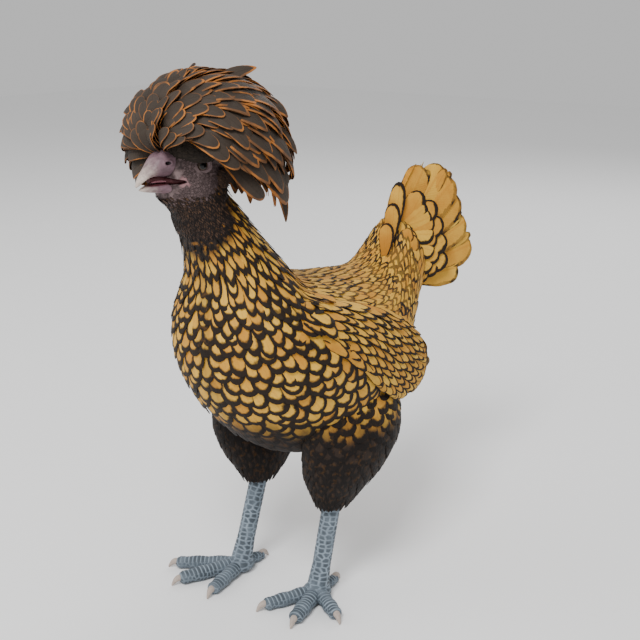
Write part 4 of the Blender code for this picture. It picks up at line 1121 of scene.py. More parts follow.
# Feathers that close the front of the fan: root, tip, half width
TAIL_FRONT = [(Vector((0.0060, 0.1500, 0.2620)), Vector((0.0065, 0.1600, 0.3060)), 0.0072),
              (Vector((0.0080, 0.1440, 0.2560)), Vector((0.0085, 0.1480, 0.2900)), 0.0070),
              (Vector((0.0100, 0.1340, 0.2480)), Vector((0.0100, 0.1370, 0.2750)), 0.0066)]


def fan_outward(rows, i, side):
    """Way out of the fan at one feather, leaning so that it lies over the next one down."""
    along = rows[i][1] - rows[i][0]
    across = rows[min(i + 1, len(rows) - 1)][1] - rows[max(i - 1, 0)][1]
    out = across.cross(along).normalized()
    if out.x < 0:
        out = -out
    lean = -across.normalized() * math.tan(0.15)
    return mirrored((out + lean).normalized(), side)


def fan_vane(vanes, root, tip, half, outward, bow, cell):
    path = [root.lerp(tip, s) + outward * bow * 4 * s * (1 - s) for s in vanes.form["steps"]]
    vanes.add(path, [outward] * len(path), half, cell, 1.0 if outward.x > 0 else -1.0)


def under_tail_coverts(vanes, draw):
    """Soft feathers that close the fan from below and behind."""
    for row in range(7):
        share = row / 6
        for k in range(7):
            across = (k - 3 + 0.5 * (row % 2)) / 3.5
            root = Vector((0.008 * across, 0.1640 - 0.006 * share, 0.2420 - 0.052 * share))
            tip = Vector((0.019 * across, 0.1890 - 0.012 * share - 0.010 * abs(across),
                          0.2370 - 0.062 * share + 0.006 * abs(across)))
            tip += Vector([draw.uniform(-0.0015, 0.0015) for _ in range(3)])
            out = Vector((0.9 * across, 0.25, -0.95))
            fan_vane(vanes, root, tip, 0.0058, out.normalized(), 0.0016, (k, 4 + row))


def tail_root_ring(vanes, draw):
    """Rows of feathers that run from the rump over the root of the fan."""
    turns = np.arange(RING_COLUMNS) * 2 * math.pi / RING_COLUMNS
    middle = Vector(body_point(np.full(RING_COLUMNS, BODY_END), turns).mean(0))
    for row, (back, close) in enumerate(((0.004, 0.96), (0.010, 0.86), (0.016, 0.74))):
        for k in range(RING_COLUMNS):
            turn = turns[k] + (row % 2) * math.pi / RING_COLUMNS + draw.uniform(-0.05, 0.05)
            start = Vector(body_point(BODY_END - 0.9, turn, 0.003).tolist())
            rim = Vector(body_point(BODY_END, turn).tolist()) - middle
            end = middle + Vector((rim.x * close, rim.y, rim.z * (0.5 + 0.5 * close)))
            end += Vector((0, back + draw.uniform(-0.002, 0.003), back * 0.10))
            out = Vector((rim.x, 0.0, rim.z)).normalized()
            fan_vane(vanes, start, end, 0.0064 * draw.uniform(0.88, 1.10), out, 0.0012, (k, row))


def tail_feathers(vanes, row, side, draw):
    """One half of the fan, each feather with two narrow ones that split its edge."""
    for i, (root, tip, half) in enumerate(TAIL):
        out = fan_outward(TAIL, i, side)
        across = (TAIL[min(i + 1, 6)][1] - TAIL[max(i - 1, 0)][1]).normalized()
        for part, (turn, reach, width) in enumerate(TAIL_PARTS):
            beyond_the_ends = i + turn * 10 < 0 or i + turn * 10 > 7
            if beyond_the_ends:
                continue
            run = (tip - root).length
            end = root + (tip - root) * (reach - 0.03 * draw.random()) + across * run * turn
            end += across * run * draw.uniform(-0.03, 0.03)
            fan_vane(vanes, mirrored(root, side), mirrored(end, side), half * width, out,
                     0.0022 - 0.0005 * part, (i * 3 + part, row))


def tail_coverts(vanes, row, side, draw):
    """Three layers of rounded feathers over the root of one half of the fan."""
    for i, (root, tip, half) in enumerate(TAIL_COVERTS[1:]):
        out = fan_outward(TAIL_COVERTS, i + 1, side)
        for layer, (reach, wide, lift) in enumerate(TAIL_COVERT_LAYERS):
            across = (TAIL_COVERTS[min(i + 2, 5)][1] - TAIL_COVERTS[i][1]) * 0.25 * layer
            end = root.lerp(tip, reach * draw.uniform(0.94, 1.03)) + across
            fan_vane(vanes, mirrored(root, side), mirrored(end, side) + out * lift, half * wide, out,
                     0.0024, (i, row * 2 + layer))


def build_tail():
    draw = random.Random(SEED)
    main, coverts, ring = Vanes(RECTRIX), Vanes(SCALE), Vanes(HACKLE)
    for row, side in enumerate((1.0, -1.0)):
        tail_feathers(main, row, side, draw)
        tail_coverts(coverts, row, side, draw)
    out = Vector((0.78, -0.60, 0.15)).normalized()
    for root, tip, half in TAIL_FRONT:
        fan_vane(coverts, root, tip, half, out, 0.0020, (0, 12))
    under_tail_coverts(coverts, draw)
    tail_root_ring(ring, draw)
    new_piece(ring.mesh("ring", SEED), "tail_root", bpy.data.materials["Rump feathers"])
    new_piece(main.mesh("rectrices", SEED), "tail_feathers",
              gold_finish("Tail feathers", RECTRIX, 0.24, zones=False, rib_shade=0.5, fade=0.55), ["tail"])
    new_piece(coverts.mesh("coverts", SEED), "tail_coverts",
              gold_finish("Tail coverts", SCALE, 0.36, zones=False))


# Crest
def crest_reach(way):
    """Distance from the middle of the crest to the tips, in the direction way."""
    a, b, c = CREST_HALF
    oval = 1 / math.sqrt((way.x / a) ** 2 + (way.y / b) ** 2 + (way.z / c) ** 2)
    fall = max(0.0, way.dot(CREST_FALL))
    return oval * (1 + CREST_FALL_REACH * fall ** 2)


def crest_flow(way, side):
    """Way in which the feathers lie: out from the parting, back over the top, then down."""
    away = min(abs(way.x), 1.0)
    back = max(0.0, way.y)
    pull = (way * way.dot(CREST_START) - CREST_START).normalized()
    pull.x = pull.x * (1 - back) + side * (0.55 * (1 - away) * (1 - back) + 0.20 * back)
    pull *= 1.0 - 0.4 * away
    pull += Vector((0.0, 0.30, -1.0)) * (1.3 * away ** 1.6 + 1.3 * back)
    return (pull - way * pull.dot(way)).normalized()


def face_line(point):
    """Height of the crest's lower edge over a place on the bird."""
    places, heights, drops = zip(*FACE_LINE)
    height = float(np.interp(point.y, places, heights))
    height -= float(np.interp(point.y, places, drops)) * min(max((abs(point.x) - 0.03) / 0.015, 0.0), 1.0)
    if point.x < -0.022:
        height -= FAR_FRINGE * min(max((-0.050 - point.y) / 0.02, 0.0), 1.0)
    return height


def crest_vane(vanes, way, length, half, lift, swing, margin=0.0, face=Vector()):
    """One crest feather, followed from its tip back against the flow, sinking to its root.

    It is left out, with False as the answer, where it would reach under the crest's
    edge, end close to the neck or run up the back.
    """
    side = 1.0 if way.x >= 0 else -1.0
    steps = vanes.form["steps"]
    ways, flows = [way], []
    for s, before in zip(steps[::-1], list(steps[::-1][1:]) + [0.0]):
        here = ways[-1]
        flow = crest_flow(here, side)
        flow = (flow + here.cross(flow) * swing * s).normalized()
        flows.append(flow)
        step = here * crest_reach(here) - flow * length * (s - before)
        if step.x * side < 0.0008:
            step.x = 0.0008 * side
        ways.append(step.normalized())
    path, out = [], []
    inner = 0.60 + 0.12 * max(0.0, -way.y)
    for s, here, flow in zip(steps, ways[:-1][::-1], flows[::-1]):
        rise = inner + (1 - inner) * (1 - (1 - s) ** 2.2) + lift * s ** 3
        point = CREST_AT + here * crest_reach(here) * rise
        if s > 0.3:
            point = clear_of_body(point, 0.0016, 2.0, 14.0)
        if s > 0.5 and point.z < face_line(point) + margin:
            return False
        path.append(point)
        upper = Vector((-side * 0.6, 0.0, 1.0))
        upper = upper - here * upper.dot(here) - flow * upper.dot(flow)
        out.append(here + upper.normalized() * CREST_LEAN + face)
    tip = path[-1] - CREST_AT
    if tip.z < -0.026 and math.hypot(tip.x, tip.y) < 0.042:
        return False
    if path[0].z < path[-1].z < CREST_AT.z and tip.y > 0:
        return False
    vanes.add(path, out, half, (0, 0), side)
    return True


def crest_hang(vanes, round_angle, reach, height, half, side, face=None):
    """One long pointed feather hanging from the core behind the head."""
    away = Vector((math.cos(round_angle) * side, math.sin(round_angle), 0))
    root = CREST_HANG_AT + away * CREST_HANG_ROOT
    tip = Vector((CREST_HANG_AT.x, CREST_HANG_AT.y, height)) + away * reach
    path, out = [], []
    for s in vanes.form["steps"]:
        drop = 1 - math.cos(s * math.pi / 2)
        spot = root.lerp(tip, math.sin(s * math.pi / 2))
        point = Vector((spot.x, spot.y, root.z + (height - root.z) * drop))
        path.append(clear_of_body(point, 0.0018, 3.0, 14.0) if s > 0.3 else point)
        out.append(face or away * (1 - drop * 0.2) + Vector((side * 0.9, 0, 1.0 - drop * 0.6)))
    vanes.add(path, out, half, (0, 0), side)


def spread_ways(count):
    """Directions spread evenly over a ball, from the top down."""
    for k in range(count):
        z = 1 - 2 * (k + 0.5) / count
        angle = k * 2.399963
        flat = math.sqrt(1 - z * z)
        yield Vector((flat * math.cos(angle), flat * math.sin(angle), z))


def map_cells(vanes):
    """Give every feather its own cell of the map, by the height and turn of its tip."""
    tips = np.array([path[-1] for path in vanes.paths])
    across = int(math.ceil(math.sqrt(len(tips))))
    order = np.argsort(-tips[:, 2])
    for start in range(0, len(order), across):
        band = order[start:start + across]
        turns = np.arctan2(tips[band, 0], -(tips[band, 1] - CREST_AT.y))
        for column, index in enumerate(band[np.argsort(turns)]):
            vanes.cells[index] = (column, start // across)


def brow_vanes(vanes, draw):
    """Small feathers over the eye and the root of the beak, under the crest's edge, coloured dark as painted
    shade under the crest.
    """
    half = BROW_HALF

    def on_oval(way):
        return Vector((way.x * half.x, way.y * half.y, way.z * half.z))

    for degrees in np.arange(-58, 40, 11):
        for turn in np.arange(12, 150, 9 if degrees < 20 else 12):
            for side in (1.0, -1.0):
                tilt, round_angle = math.radians(degrees + draw.uniform(-3, 3)), math.radians(turn)
                way = Vector((math.sin(round_angle) * math.cos(tilt) * side,
                              -math.cos(round_angle) * math.cos(tilt), math.sin(tilt)))
                flow = Vector((side * 0.35, 1.0, -0.28)).normalized()
                path, out = [], []
                for s in vanes.form["steps"]:
                    spot = on_oval(way) - flow * 0.012 * (1 - s)
                    ball_way = Vector((spot.x / half.x, spot.y / half.y, spot.z / half.z)).normalized()
                    point = BROW_AT + on_oval(ball_way) * (0.90 + 0.12 * s)
                    point.z -= 0.0036 * (point.x / half.x) ** 2
                    path.append(point)
                    out.append(ball_way + Vector((0, 0, 0.25)))
                if path[-1].z > BROW_FLOOR:
                    vanes.add(path, out, 0.0028, (0, 0), side)


def crest_layer(front, back, draw, count, first, last, depth):
    """Feathers spread evenly over the crest, rounded in front and pointed behind."""
    for way in spread_ways(count):
        way = (way + Vector([draw.uniform(-0.05, 0.05) for _ in range(3)])).normalized()
        share = min(max((math.degrees(way.angle(CREST_PART)) - 15) / 110, 0.0), 1.0)
        spot = CREST_AT + way * crest_reach(way)
        inside = (clear_of_body(spot, 0.0030, 2.0, 14.0) - spot).length > 0.0035
        if inside or not first <= share < last or way.z < -0.66:
            continue
        length = (0.019 + 0.040 * share) * draw.uniform(0.88, 1.16)
        half = (0.0042 + 0.0030 * share) * draw.uniform(0.82, 1.16)
        vanes = front if share < 0.55 else back
        lift, swing = depth + draw.uniform(-0.040, 0.006), draw.uniform(-0.16, 0.16)
        margin = draw.uniform(0.0002, 0.0045)
        for _ in range(7):
            if crest_vane(vanes, way, length, half, lift, swing, margin):
                break
            way = (way - crest_flow(way, 1.0 if way.x >= 0 else -1.0) * 0.03).normalized()


def crest_strays(vanes):
    for spot, length, half in CREST_STRAYS:
        for side in (1.0, -1.0):
            way = mirrored(spot, side) - CREST_AT
            reach = way.length
            way.normalize()
            crest_vane(vanes, way, length, half, reach / crest_reach(way) - 1, 0.12 * side,
                       face=Vector((0.9 * side, -0.5, 0)))


def crest_hangs(vanes, draw):
    """Two layers behind the neck, and one long feather that stands out from them."""
    for rows in (CREST_HANGS_OUTER, CREST_HANGS_INNER):
        angles, reaches, heights = zip(*rows)
        for degrees in np.arange(0, 94, 7.5):
            reach = float(np.interp(degrees, angles, reaches))
            height = float(np.interp(degrees, angles, heights))
            for side in (1.0, -1.0):
                turn = math.radians(degrees + draw.uniform(-4, 4))
                crest_hang(vanes, turn, reach * draw.uniform(0.93, 1.0), height + draw.uniform(-0.002, 0.012),
                           draw.uniform(0.0052, 0.0068), side)
    crest_hang(vanes, math.radians(38), 0.0490, 0.3045, 0.0046, 1.0, Vector((0.6, -0.8, 0.3)))


def crest_finish(name, form, lace):
    ground = colour_of("crest_ground")
    return feather_finish(name, form, scaled(ground, 1.5), ground, colour_of("crest_edge"), lace, zones=False,
                          rib_shade=0.5, ragged=0.22, roughness=0.6, fade=0.75)


def build_crest():
    draw = random.Random(SEED)
    front, back, brow = Vanes(CREST_ROUND), Vanes(CREST_LONG), Vanes(HACKLE)
    for layer in CREST_LAYERS:
        crest_layer(front, back, draw, *layer)
    crest_strays(back)
    crest_hangs(back, draw)
    brow_vanes(brow, draw)
    for vanes in (front, back, brow):
        map_cells(vanes)
    new_piece(front.mesh("crest_front", SEED, cup=0.10), "crest_front",
              crest_finish("Crest front feathers", CREST_ROUND, 0.15), ["crest"])
    new_piece(back.mesh("crest_back", SEED, cup=0.10), "crest_back",
              crest_finish("Crest back feathers", CREST_LONG, 0.17))
    ground = colour_of("crest_ground")
    # Brow feathers: the crest's own ground, darkened further as painted shade under the crest's edge
    dark = scaled(ground, 0.55)
    finish = feather_finish("Brow feathers", HACKLE, ground, dark, dark, 0.2, zones=False)
    new_piece(brow.mesh("brow", SEED), "crest_brow", finish)


# Head
HORN_BASE = (0.185, 0.115, 0.135)


def oval_share(tree, y, z, centre, half):
    """Square of the distance from an oval's middle, one on its edge, seen from the side."""
    along = calc(tree, "DIVIDE", calc(tree, "SUBTRACT", y, centre.y), half[0])
    up = calc(tree, "DIVIDE", calc(tree, "SUBTRACT", z, centre.z), half[1])
    return calc(tree, "ADD", calc(tree, "POWER", along, 2.0), calc(tree, "POWER", up, 2.0))


def horn_finish(name, upper):
    """Horn that is pale at the tip and dusky toward its base, with painted shade in the nostrils and on the
    lower beak inside the mouth.
    """
    made, tree, shader = new_material(name, 0.38)
    spot = object_place(tree)
    place = hen_place(tree)
    _, y, z = parts_of(tree, place)
    wander = calc(tree, "MULTIPLY", calc(tree, "SUBTRACT", noise_at(tree, spot, 240.0), 0.5), 0.008)
    share = between(tree, calc(tree, "ADD", y, wander), -0.1290, -0.1120)
    colour = mixed(tree, share, colour_of("horn"), HORN_BASE)
    streaks = noise_at(tree, shift_vector(tree, "MULTIPLY", spot, (1.0, 0.18, 1.0)), 900.0, 4.0)
    colour = mixed(tree, calc(tree, "MULTIPLY", between(tree, streaks, 0.45, 0.75), 0.35), colour,
                   scaled(HORN_BASE, 0.45))
    blotch = calc(tree, "MULTIPLY", between(tree, noise_at(tree, spot, 210.0, 4.0), 0.44, 0.66), share)
    colour = mixed(tree, calc(tree, "MULTIPLY", blotch, 0.55), colour, scaled(HORN_BASE, 0.50))
    if upper:
        # Dark nostril opening: painted shade in the hole
        hole = between(tree, oval_share(tree, y, z, NOSTRIL_AT, (0.0021, 0.0012)), 1.3, 0.7)
        colour = mixed(tree, hole, colour, (0.012, 0.006, 0.008))
    else:
        # Top of the lower beak inside the mouth, darkened as painted shade
        inner = calc(tree, "MULTIPLY", between(tree, z, 0.3374, 0.3381), between(tree, y, -0.1235, -0.1195))
        colour = mixed(tree, inner, colour, (0.070, 0.020, 0.024))
    feed(tree, shader.inputs["Base Color"], colour)
    bump(tree, shader, streaks, 0.25, 0.0003)
    return made


def raise_nostrils(mesh):
    """Press a nostril with a raised rim into each side of the upper beak."""
    for side in (1.0, -1.0):
        centre = mirrored(NOSTRIL_AT, side)
        for vert in mesh.vertices:
            offset = vert.co - centre
            if offset.x * side < -0.004:
                continue
            far = math.hypot(offset.y / 0.0027, offset.z / 0.0017)
            rim = math.exp(-((far - 1.05) / 0.30) ** 2) * 0.00055
            hole = max(0.0, 1 - (far / 0.78) ** 2) * 0.0018
            vert.co.x += side * (rim - hole)


def mouth_finish(name, roughness, scale, dark, light, rough=False):
    """Moist skin of the mouth in two tones, rough on the tongue; the lining is given dark tones as painted
    shade.
    """
    made, tree, shader = new_material(name, roughness)
    grain = noise_at(tree, object_place(tree), scale)
    feed(tree, shader.inputs["Base Color"], mixed(tree, grain, dark, light))
    if rough:
        bump(tree, shader, grain, 0.4, 0.0003)
    return made


def build_beak():
    upper = ringed("beak_upper", rows_to_rings(BEAK_UPPER, 88, 110))
    raise_nostrils(upper)
    new_piece(upper, "beak_upper_skin", horn_finish("Upper beak", True), ["beak_upper"])
    lower = ringed("beak_lower", rows_to_rings(BEAK_LOWER, 48, 60))
    new_piece(lower, "beak_lower_skin", horn_finish("Lower beak", False), ["beak_lower"])
    finish = mouth_finish("Tongue", 0.35, 700.0, (0.30, 0.115, 0.14), (0.44, 0.20, 0.23), rough=True)
    new_piece(ringed("tongue", rows_to_rings(TONGUE, 20, 24)), "tongue_skin", finish, ["tongue"])
    # Lining of the mouth: its darkness is painted shade inside the open mouth
    finish = mouth_finish("Mouth", 0.4, 500.0, (0.035, 0.010, 0.012), (0.11, 0.035, 0.038))
    new_piece(ringed("mouth", rows_to_rings(MOUTH_SHADE_LINING, 20, 24)), "mouth_lining", finish)


def eye_axis(side):
    return Vector((0.93 * side, -0.35, 0.04)).normalized()


def eye_finish(side, key):
    """Dark iris round a black pupil, from how far a place lies from the line of sight."""
    made, tree, shader = new_material("Eye " + key, 0.06)
    spot = object_place(tree)
    place = shift_vector(tree, "SUBTRACT", spot, tuple(STANCE + mirrored(EYE_AT, side)))
    made_unit = shift_vector(tree, "NORMALIZE", place)
    dot = shader_node(tree, "VectorMath", operation="DOT_PRODUCT")
    feed(tree, dot.inputs[0], made_unit)
    dot.inputs[1].default_value = tuple(eye_axis(side))
    toward = dot.outputs["Value"]
    grain = noise_at(tree, shift_vector(tree, "MULTIPLY", made_unit, (9.0, 9.0, 9.0)), 3.0, 5.0)
    iris = mixed(tree, grain, (0.020, 0.012, 0.007), (0.060, 0.032, 0.016))
    colour = mixed(tree, between(tree, toward, 0.70, 0.60), iris, (0.010, 0.007, 0.006))
    colour = mixed(tree, between(tree, toward, 0.900, 0.915), colour, (0.002, 0.002, 0.002))
    feed(tree, shader.inputs["Base Color"], colour)
    shader.inputs["Coat Weight"].default_value = 0.25
    shader.inputs["Coat Roughness"].default_value = 0.05
    return made


def lid_finish(name):
    made, tree, shader = new_material(name, 0.45)
    grain = noise_at(tree, object_place(tree), 900.0)
    feed(tree, shader.inputs["Base Color"], mixed(tree, grain, (0.120, 0.080, 0.084), (0.235, 0.170, 0.172)))
    bump(tree, shader, grain, 0.5, 0.0003)
    return made


def lid_rim(centre, axis, spread, tall, out, width, sides=8, count=64):
    """Rounded rim in an oval round the eye, flatter at its corners."""
    ahead = axis.cross(Vector((0, 0, 1))).normalized()
    up = ahead.cross(axis).normalized()
    made = bmesh.new()
    loops = []
    for i in range(count):
        angle = 2 * math.pi * i / count
        corner = 1 - 0.16 * abs(math.sin(angle)) ** 3
        middle = centre + axis * out + ahead * math.cos(angle) * spread + up * math.sin(angle) * tall * corner
        tangent = (-ahead * math.sin(angle) * spread + up * math.cos(angle) * tall).normalized()
        over = axis.cross(tangent).normalized()
        turns = [2 * math.pi * j / sides for j in range(sides)]
        ways = [axis * math.cos(a) + over * math.sin(a) for a in turns]
        loops.append([made.verts.new(middle + way * width) for way in ways])
    for one, two in zip(loops, loops[1:] + loops[:1]):
        for j in range(sides):
            n = (j + 1) % sides
            made.faces.new((one[j], one[n], two[n], two[j]))
    bmesh.ops.recalc_face_normals(made, faces=made.faces[:])
    return saved_mesh(made, "lid")


def build_eye(side, key):
    centre = mirrored(EYE_AT, side)
    axis = eye_axis(side)
    mesh = ball("eye", Vector((0, 0, 0)), Vector((EYE_RADIUS,) * 3), 32, 48)
    for vert in mesh.vertices:
        toward = vert.co.normalized().dot(axis)
        vert.co *= 1 + 0.05 * max(0.0, (toward - 0.7) / 0.3) ** 2
        vert.co += centre
    new_piece(mesh, "eye_" + key + "_globe", eye_finish(side, key), ["eye_" + key])
    lids = [lid_rim(centre, axis, *sizes) for sizes in LID_RINGS]
    new_piece(joined("lids", lids), "lids_" + key, lid_finish("Eyelid " + key))


def build_ear(side, key):
    """Small ear patch with short feathers swept back over it."""
    centre = mirrored(EAR_AT, side)
    draw = random.Random(SEED + int(side))
    vanes = Vanes(TUFT)
    for k in range(70):
        angle, reach = k * 2.4, math.sqrt((k + 0.5) / 70)
        root = centre + Vector((-0.0006 * side, math.cos(angle) * EAR_HALF.y * reach,
                                math.sin(angle) * EAR_HALF.z * reach))
        tip = root + Vector((0.0020 * side, 0.0034, -0.0022)) * draw.uniform(0.8, 1.2)
        path = [root.lerp(tip, s) + Vector((0.0007 * side * math.sin(math.pi * s), 0, 0))
                for s in TUFT["steps"]]
        vanes.add(path, [Vector((side, -0.2, 0.2))] * len(path), 0.0008, (k % 9, k // 9))
    finish = shared("Ear feathers", lambda name: feather_finish(
        name, TUFT, (0.125, 0.072, 0.045), (0.050, 0.030, 0.023), (0.030, 0.020, 0.016), 0.3, zones=False))
    new_piece(vanes.mesh("ear", SEED, thick=0.0002), "ear_" + key + "_tuft", finish, ["ear_" + key])


def build_face_coat():
    """Short wispy feathers of the face, dusky near the beak and brown toward the neck."""
    def near_face(tip, turn, point):
        keep = (tip > 1.0) & (tip < 7.9) & (point[:, 2] < 0.362)
        keep &= (tip < 6.6) | (np.abs(turn) > 1.5)
        keep &= (point[:, 1] > -0.1035) | (point[:, 2] < 0.333)
        for side in (1.0, -1.0):
            gap = point - np.array(mirrored(EYE_AT, side))
            keep &= np.hypot(gap[:, 1] / 0.0078, gap[:, 2] / 0.0068) + (gap[:, 0] * side < -0.01) > 1.0
            ear = np.array(mirrored(EAR_AT, side))
            keep &= np.linalg.norm(point - ear, axis=-1) > 0.0020
        gape = (point[:, 1] < -0.0970) & (np.abs(point[:, 2] - 0.3394) < 0.0034)
        return keep & ~gape

    face = colour_of("face")
    pale = scaled(face, 1.35, 0.008)
    finishes = (feather_finish("Face feathers", TUFT, pale, scaled(face, 0.72),
                               scaled(face, 0.6), 0.25, zones=False),
                feather_finish("Cheek feathers", TUFT, (0.105, 0.055, 0.030), (0.030, 0.019, 0.015),
                               (0.013, 0.009, 0.008), 0.30, zones=False))
    for name, finish, part in (("face_coat", finishes[0], 0), ("cheek_coat", finishes[1], 1)):
        def choose(tip, turn, point, part=part):
            rough = np.random.default_rng(SEED).normal(0.0, 0.0030, len(tip))
            brown = point[:, 1] + 0.55 * (0.335 - point[:, 2]) + rough > -0.0745
            brown |= point[:, 2] + rough < 0.3240
            return near_face(tip, turn, point) & (brown == bool(part))

        size = 0.0028 if part == 0 else 0.0058
        mesh = body_vanes(TUFT, choose, lambda tip: size + 0.0007 * np.clip(tip - 3, 0, 5), 0.0012, 0.72,
                          SEED + 5, 0.0017, first=0.6, columns=78, thick=0.00014)
        new_piece(mesh, name, finish)


# Legs
FLOOR_ROOM = 0.00005        # height of the lowest points over the floor


def add_scale_cells():
    """Rounded scales on a leg, from the share round it and the decimetres along it."""
    tree, inside, out = new_group(
        "Scale cells", [("Place", "NodeSocketVector", None), ("Round", "NodeSocketFloat", 12.0),
                        ("Rows", "NodeSocketFloat", 34.0), ("Bars", "NodeSocketFloat", 0.0)],
        [("Line", "NodeSocketFloat"), ("Cell", "NodeSocketFloat")])
    u, v, _ = parts_of(tree, inside.outputs["Place"])
    made = shader_node(tree, "CombineXYZ")
    feed(tree, made.inputs[0], calc(tree, "MULTIPLY", u, inside.outputs["Round"]))
    feed(tree, made.inputs[1], calc(tree, "MULTIPLY", v, inside.outputs["Rows"]))
    cells = shader_node(tree, "TexVoronoi", feature="DISTANCE_TO_EDGE", voronoi_dimensions="2D")
    feed(tree, cells.inputs["Vector"], made.outputs[0])
    cells.inputs["Scale"].default_value = 1.0
    cells.inputs["Randomness"].default_value = 0.62
    edge = cells.outputs["Distance"]
    bar = calc(tree, "PINGPONG", calc(tree, "MULTIPLY", v, inside.outputs["Rows"]), 0.5)
    top = between(tree, calc(tree, "ABSOLUTE", calc(tree, "SUBTRACT", u, 0.25)), 0.20, 0.13)
    edge = mixed(tree, calc(tree, "MULTIPLY", top, inside.outputs["Bars"]), edge, bar)
    line = between(tree, edge, 0.17, 0.03)
    hide = calc(tree, "MULTIPLY", calc(tree, "SUBTRACT", 1.0, top), inside.outputs["Bars"])
    line = calc(tree, "MULTIPLY", line, calc(tree, "MULTIPLY_ADD", hide, -0.75, 1.0))
    feed(tree, out.inputs["Line"], line)
    feed(tree, out.inputs["Cell"], between(tree, edge, 0.06, 0.30))


def leg_finish(name, around, rows, bars):
    made, tree, shader = new_material(name, 0.5)
    place = shader_node(tree, "UVMap", uv_map="scales").outputs[0]
    cells = use_group(tree, "Scale cells", Place=place, Round=around, Rows=rows, Bars=bars)
    spot = object_place(tree)
    cloud = noise_at(tree, spot, 120.0)
    legs = colour_of("legs")
    pale = scaled(legs, 1.9)
    deep = scaled(legs, 0.42)
    ground = mixed(tree, cloud, scaled(legs, 0.8), scaled(legs, 1.25))
    strength = between(tree, noise_at(tree, spot, 90.0, 2.0), 0.30, 0.62)
    strength = calc(tree, "MULTIPLY_ADD", strength, 0.75, 0.20)
    colour = mixed(tree, calc(tree, "MULTIPLY", cells["Cell"], strength), ground, deep)
    faint = calc(tree, "MULTIPLY_ADD", between(tree, noise_at(tree, spot, 75.0, 2.0), 0.62, 0.38), 0.55, 0.30)
    colour = mixed(tree, calc(tree, "MULTIPLY", cells["Line"], faint), colour, pale)
    feed(tree, shader.inputs["Base Color"], colour)
    fine = noise_at(tree, spot, 1500.0)
    bump(tree, shader, calc(tree, "MULTIPLY_ADD", fine, 0.25, cells["Cell"]), 0.6, 0.0005)
    return made


def claw_finish():
    made, tree, shader = new_material("Claw horn", 0.35)
    spot = object_place(tree)
    grain = noise_at(tree, spot, 500.0, 4.0)
    horn = colour_of("horn")
    feed(tree, shader.inputs["Base Color"], mixed(tree, grain, scaled(horn, 0.55), horn))
    bump(tree, shader, grain, 0.3, 0.0003)
    return made


def tube_rings(points, radii, sides, flat=1.0, groove=None):
    """Rings round a row of points; groove lowers or raises each place on them."""
    rings = []
    for i, centre in enumerate(points):
        ahead = points[min(i + 1, len(points) - 1)]
        behind = points[max(i - 1, 0)]
        along = (ahead - behind).normalized()
        across = along.cross(Vector((0, 0, 1)))
        if across.length < 0.3:
            across = Vector((1, 0, 0))
        across.normalize()
        up = across.cross(along).normalized()
        ring = []
        for k in range(sides):
            angle = 2 * math.pi * k / sides
            radius = radii[i] + (groove(i, angle) if groove else 0.0)
            ring.append(centre + (across * math.cos(angle) + up * math.sin(angle) * flat) * radius)
        rings.append(ring)
    return rings


def build_shank(key, finish):
    leg = LEGS[key]
    count = 140
    top = leg["top"] + Vector((0, 0, 0.004))
    points = [top.lerp(leg["ankle"] - Vector((0, 0, 0.004)), k / (count - 1)) for k in range(count)]
    radii = [SHANK_RADIUS + (ANKLE_RADIUS - SHANK_RADIUS) * max(0.0, k / count - 0.72) / 0.28 * 0.8
             for k in range(count)]

    def groove(i, angle):
        run = i / count * 14.0
        phase = run + (0.5 if math.cos(angle) > 0 else 0.0)
        front = math.exp(-((abs(phase - round(phase))) / 0.09) ** 2)
        return -0.00032 * front

    rings = tube_rings(points, [r * 0.96 for r in radii], 40, 1.0, groove)
    new_piece(ringed("shank", rings), "shank_" + key + "_scales", finish, ["shank_" + key])


def sole_mesh(base):
    """Rounded pad under the ankle, flat on the floor."""
    rings = []
    for k in range(15):
        a = math.pi * (k + 0.4) / 15.0
        height = max(0.0064 + 0.0066 * math.cos(a), 0.0)
        size = math.sin(a)
        ring = []
        for j in range(LIMB_SIDES):
            t = 2 * math.pi * j / LIMB_SIDES
            ring.append(Vector((base.x + 0.0112 * size * math.cos(t),
                                base.y - 0.001 + 0.0118 * size * math.sin(t), height)))
        rings.append(ring)
    return ringed("pad", rings)


def on_floor(rings):
    """Rings with nothing under the floor."""
    for ring in rings:
        for point in ring:
            point.z = max(point.z, FLOOR_ROOM)
    return rings


def toe_mesh(base, tip, radius, count=64):
    """Toe with swellings under its joints and a groove between the scales on top."""
    start = base + Vector((0, 0, TOE_HEIGHT + 0.001))
    end = Vector((tip.x, tip.y, TOE_HEIGHT * radius / 0.0062))
    radii = []
    for k in range(count):
        t = k / (count - 1)
        swell = 0.00035 * math.cos(t * 6 * math.pi)
        close = math.sqrt(max(0.0, 1 - max(0.0, (t - 0.90) / 0.10) ** 2 * 0.80))
        radii.append((radius * (1.02 - 0.12 * t) + swell) * close)

    def groove(i, angle):
        run = i / count * (end - start).length / 0.0030
        step = run - math.floor(run)
        top = max(0.0, math.sin(angle)) ** 0.5
        return -0.00045 * top * math.exp(-(min(step, 1 - step) / 0.14) ** 2)

    points = [start.lerp(end, k / (count - 1)) for k in range(count)]
    return ringed("toe", on_floor(tube_rings(points, radii, 28, 0.92, groove)))


def build_foot(key, finish):
    leg = LEGS[key]
    base = Vector((leg["ankle"].x, leg["ankle"].y, 0.0))
    meshes = [sole_mesh(base)] + [toe_mesh(base, tip, radius) for _, tip, radius in leg["toes"]]
    new_piece(joined("foot", meshes), "foot_" + key + "_scales", finish, ["foot_" + key])


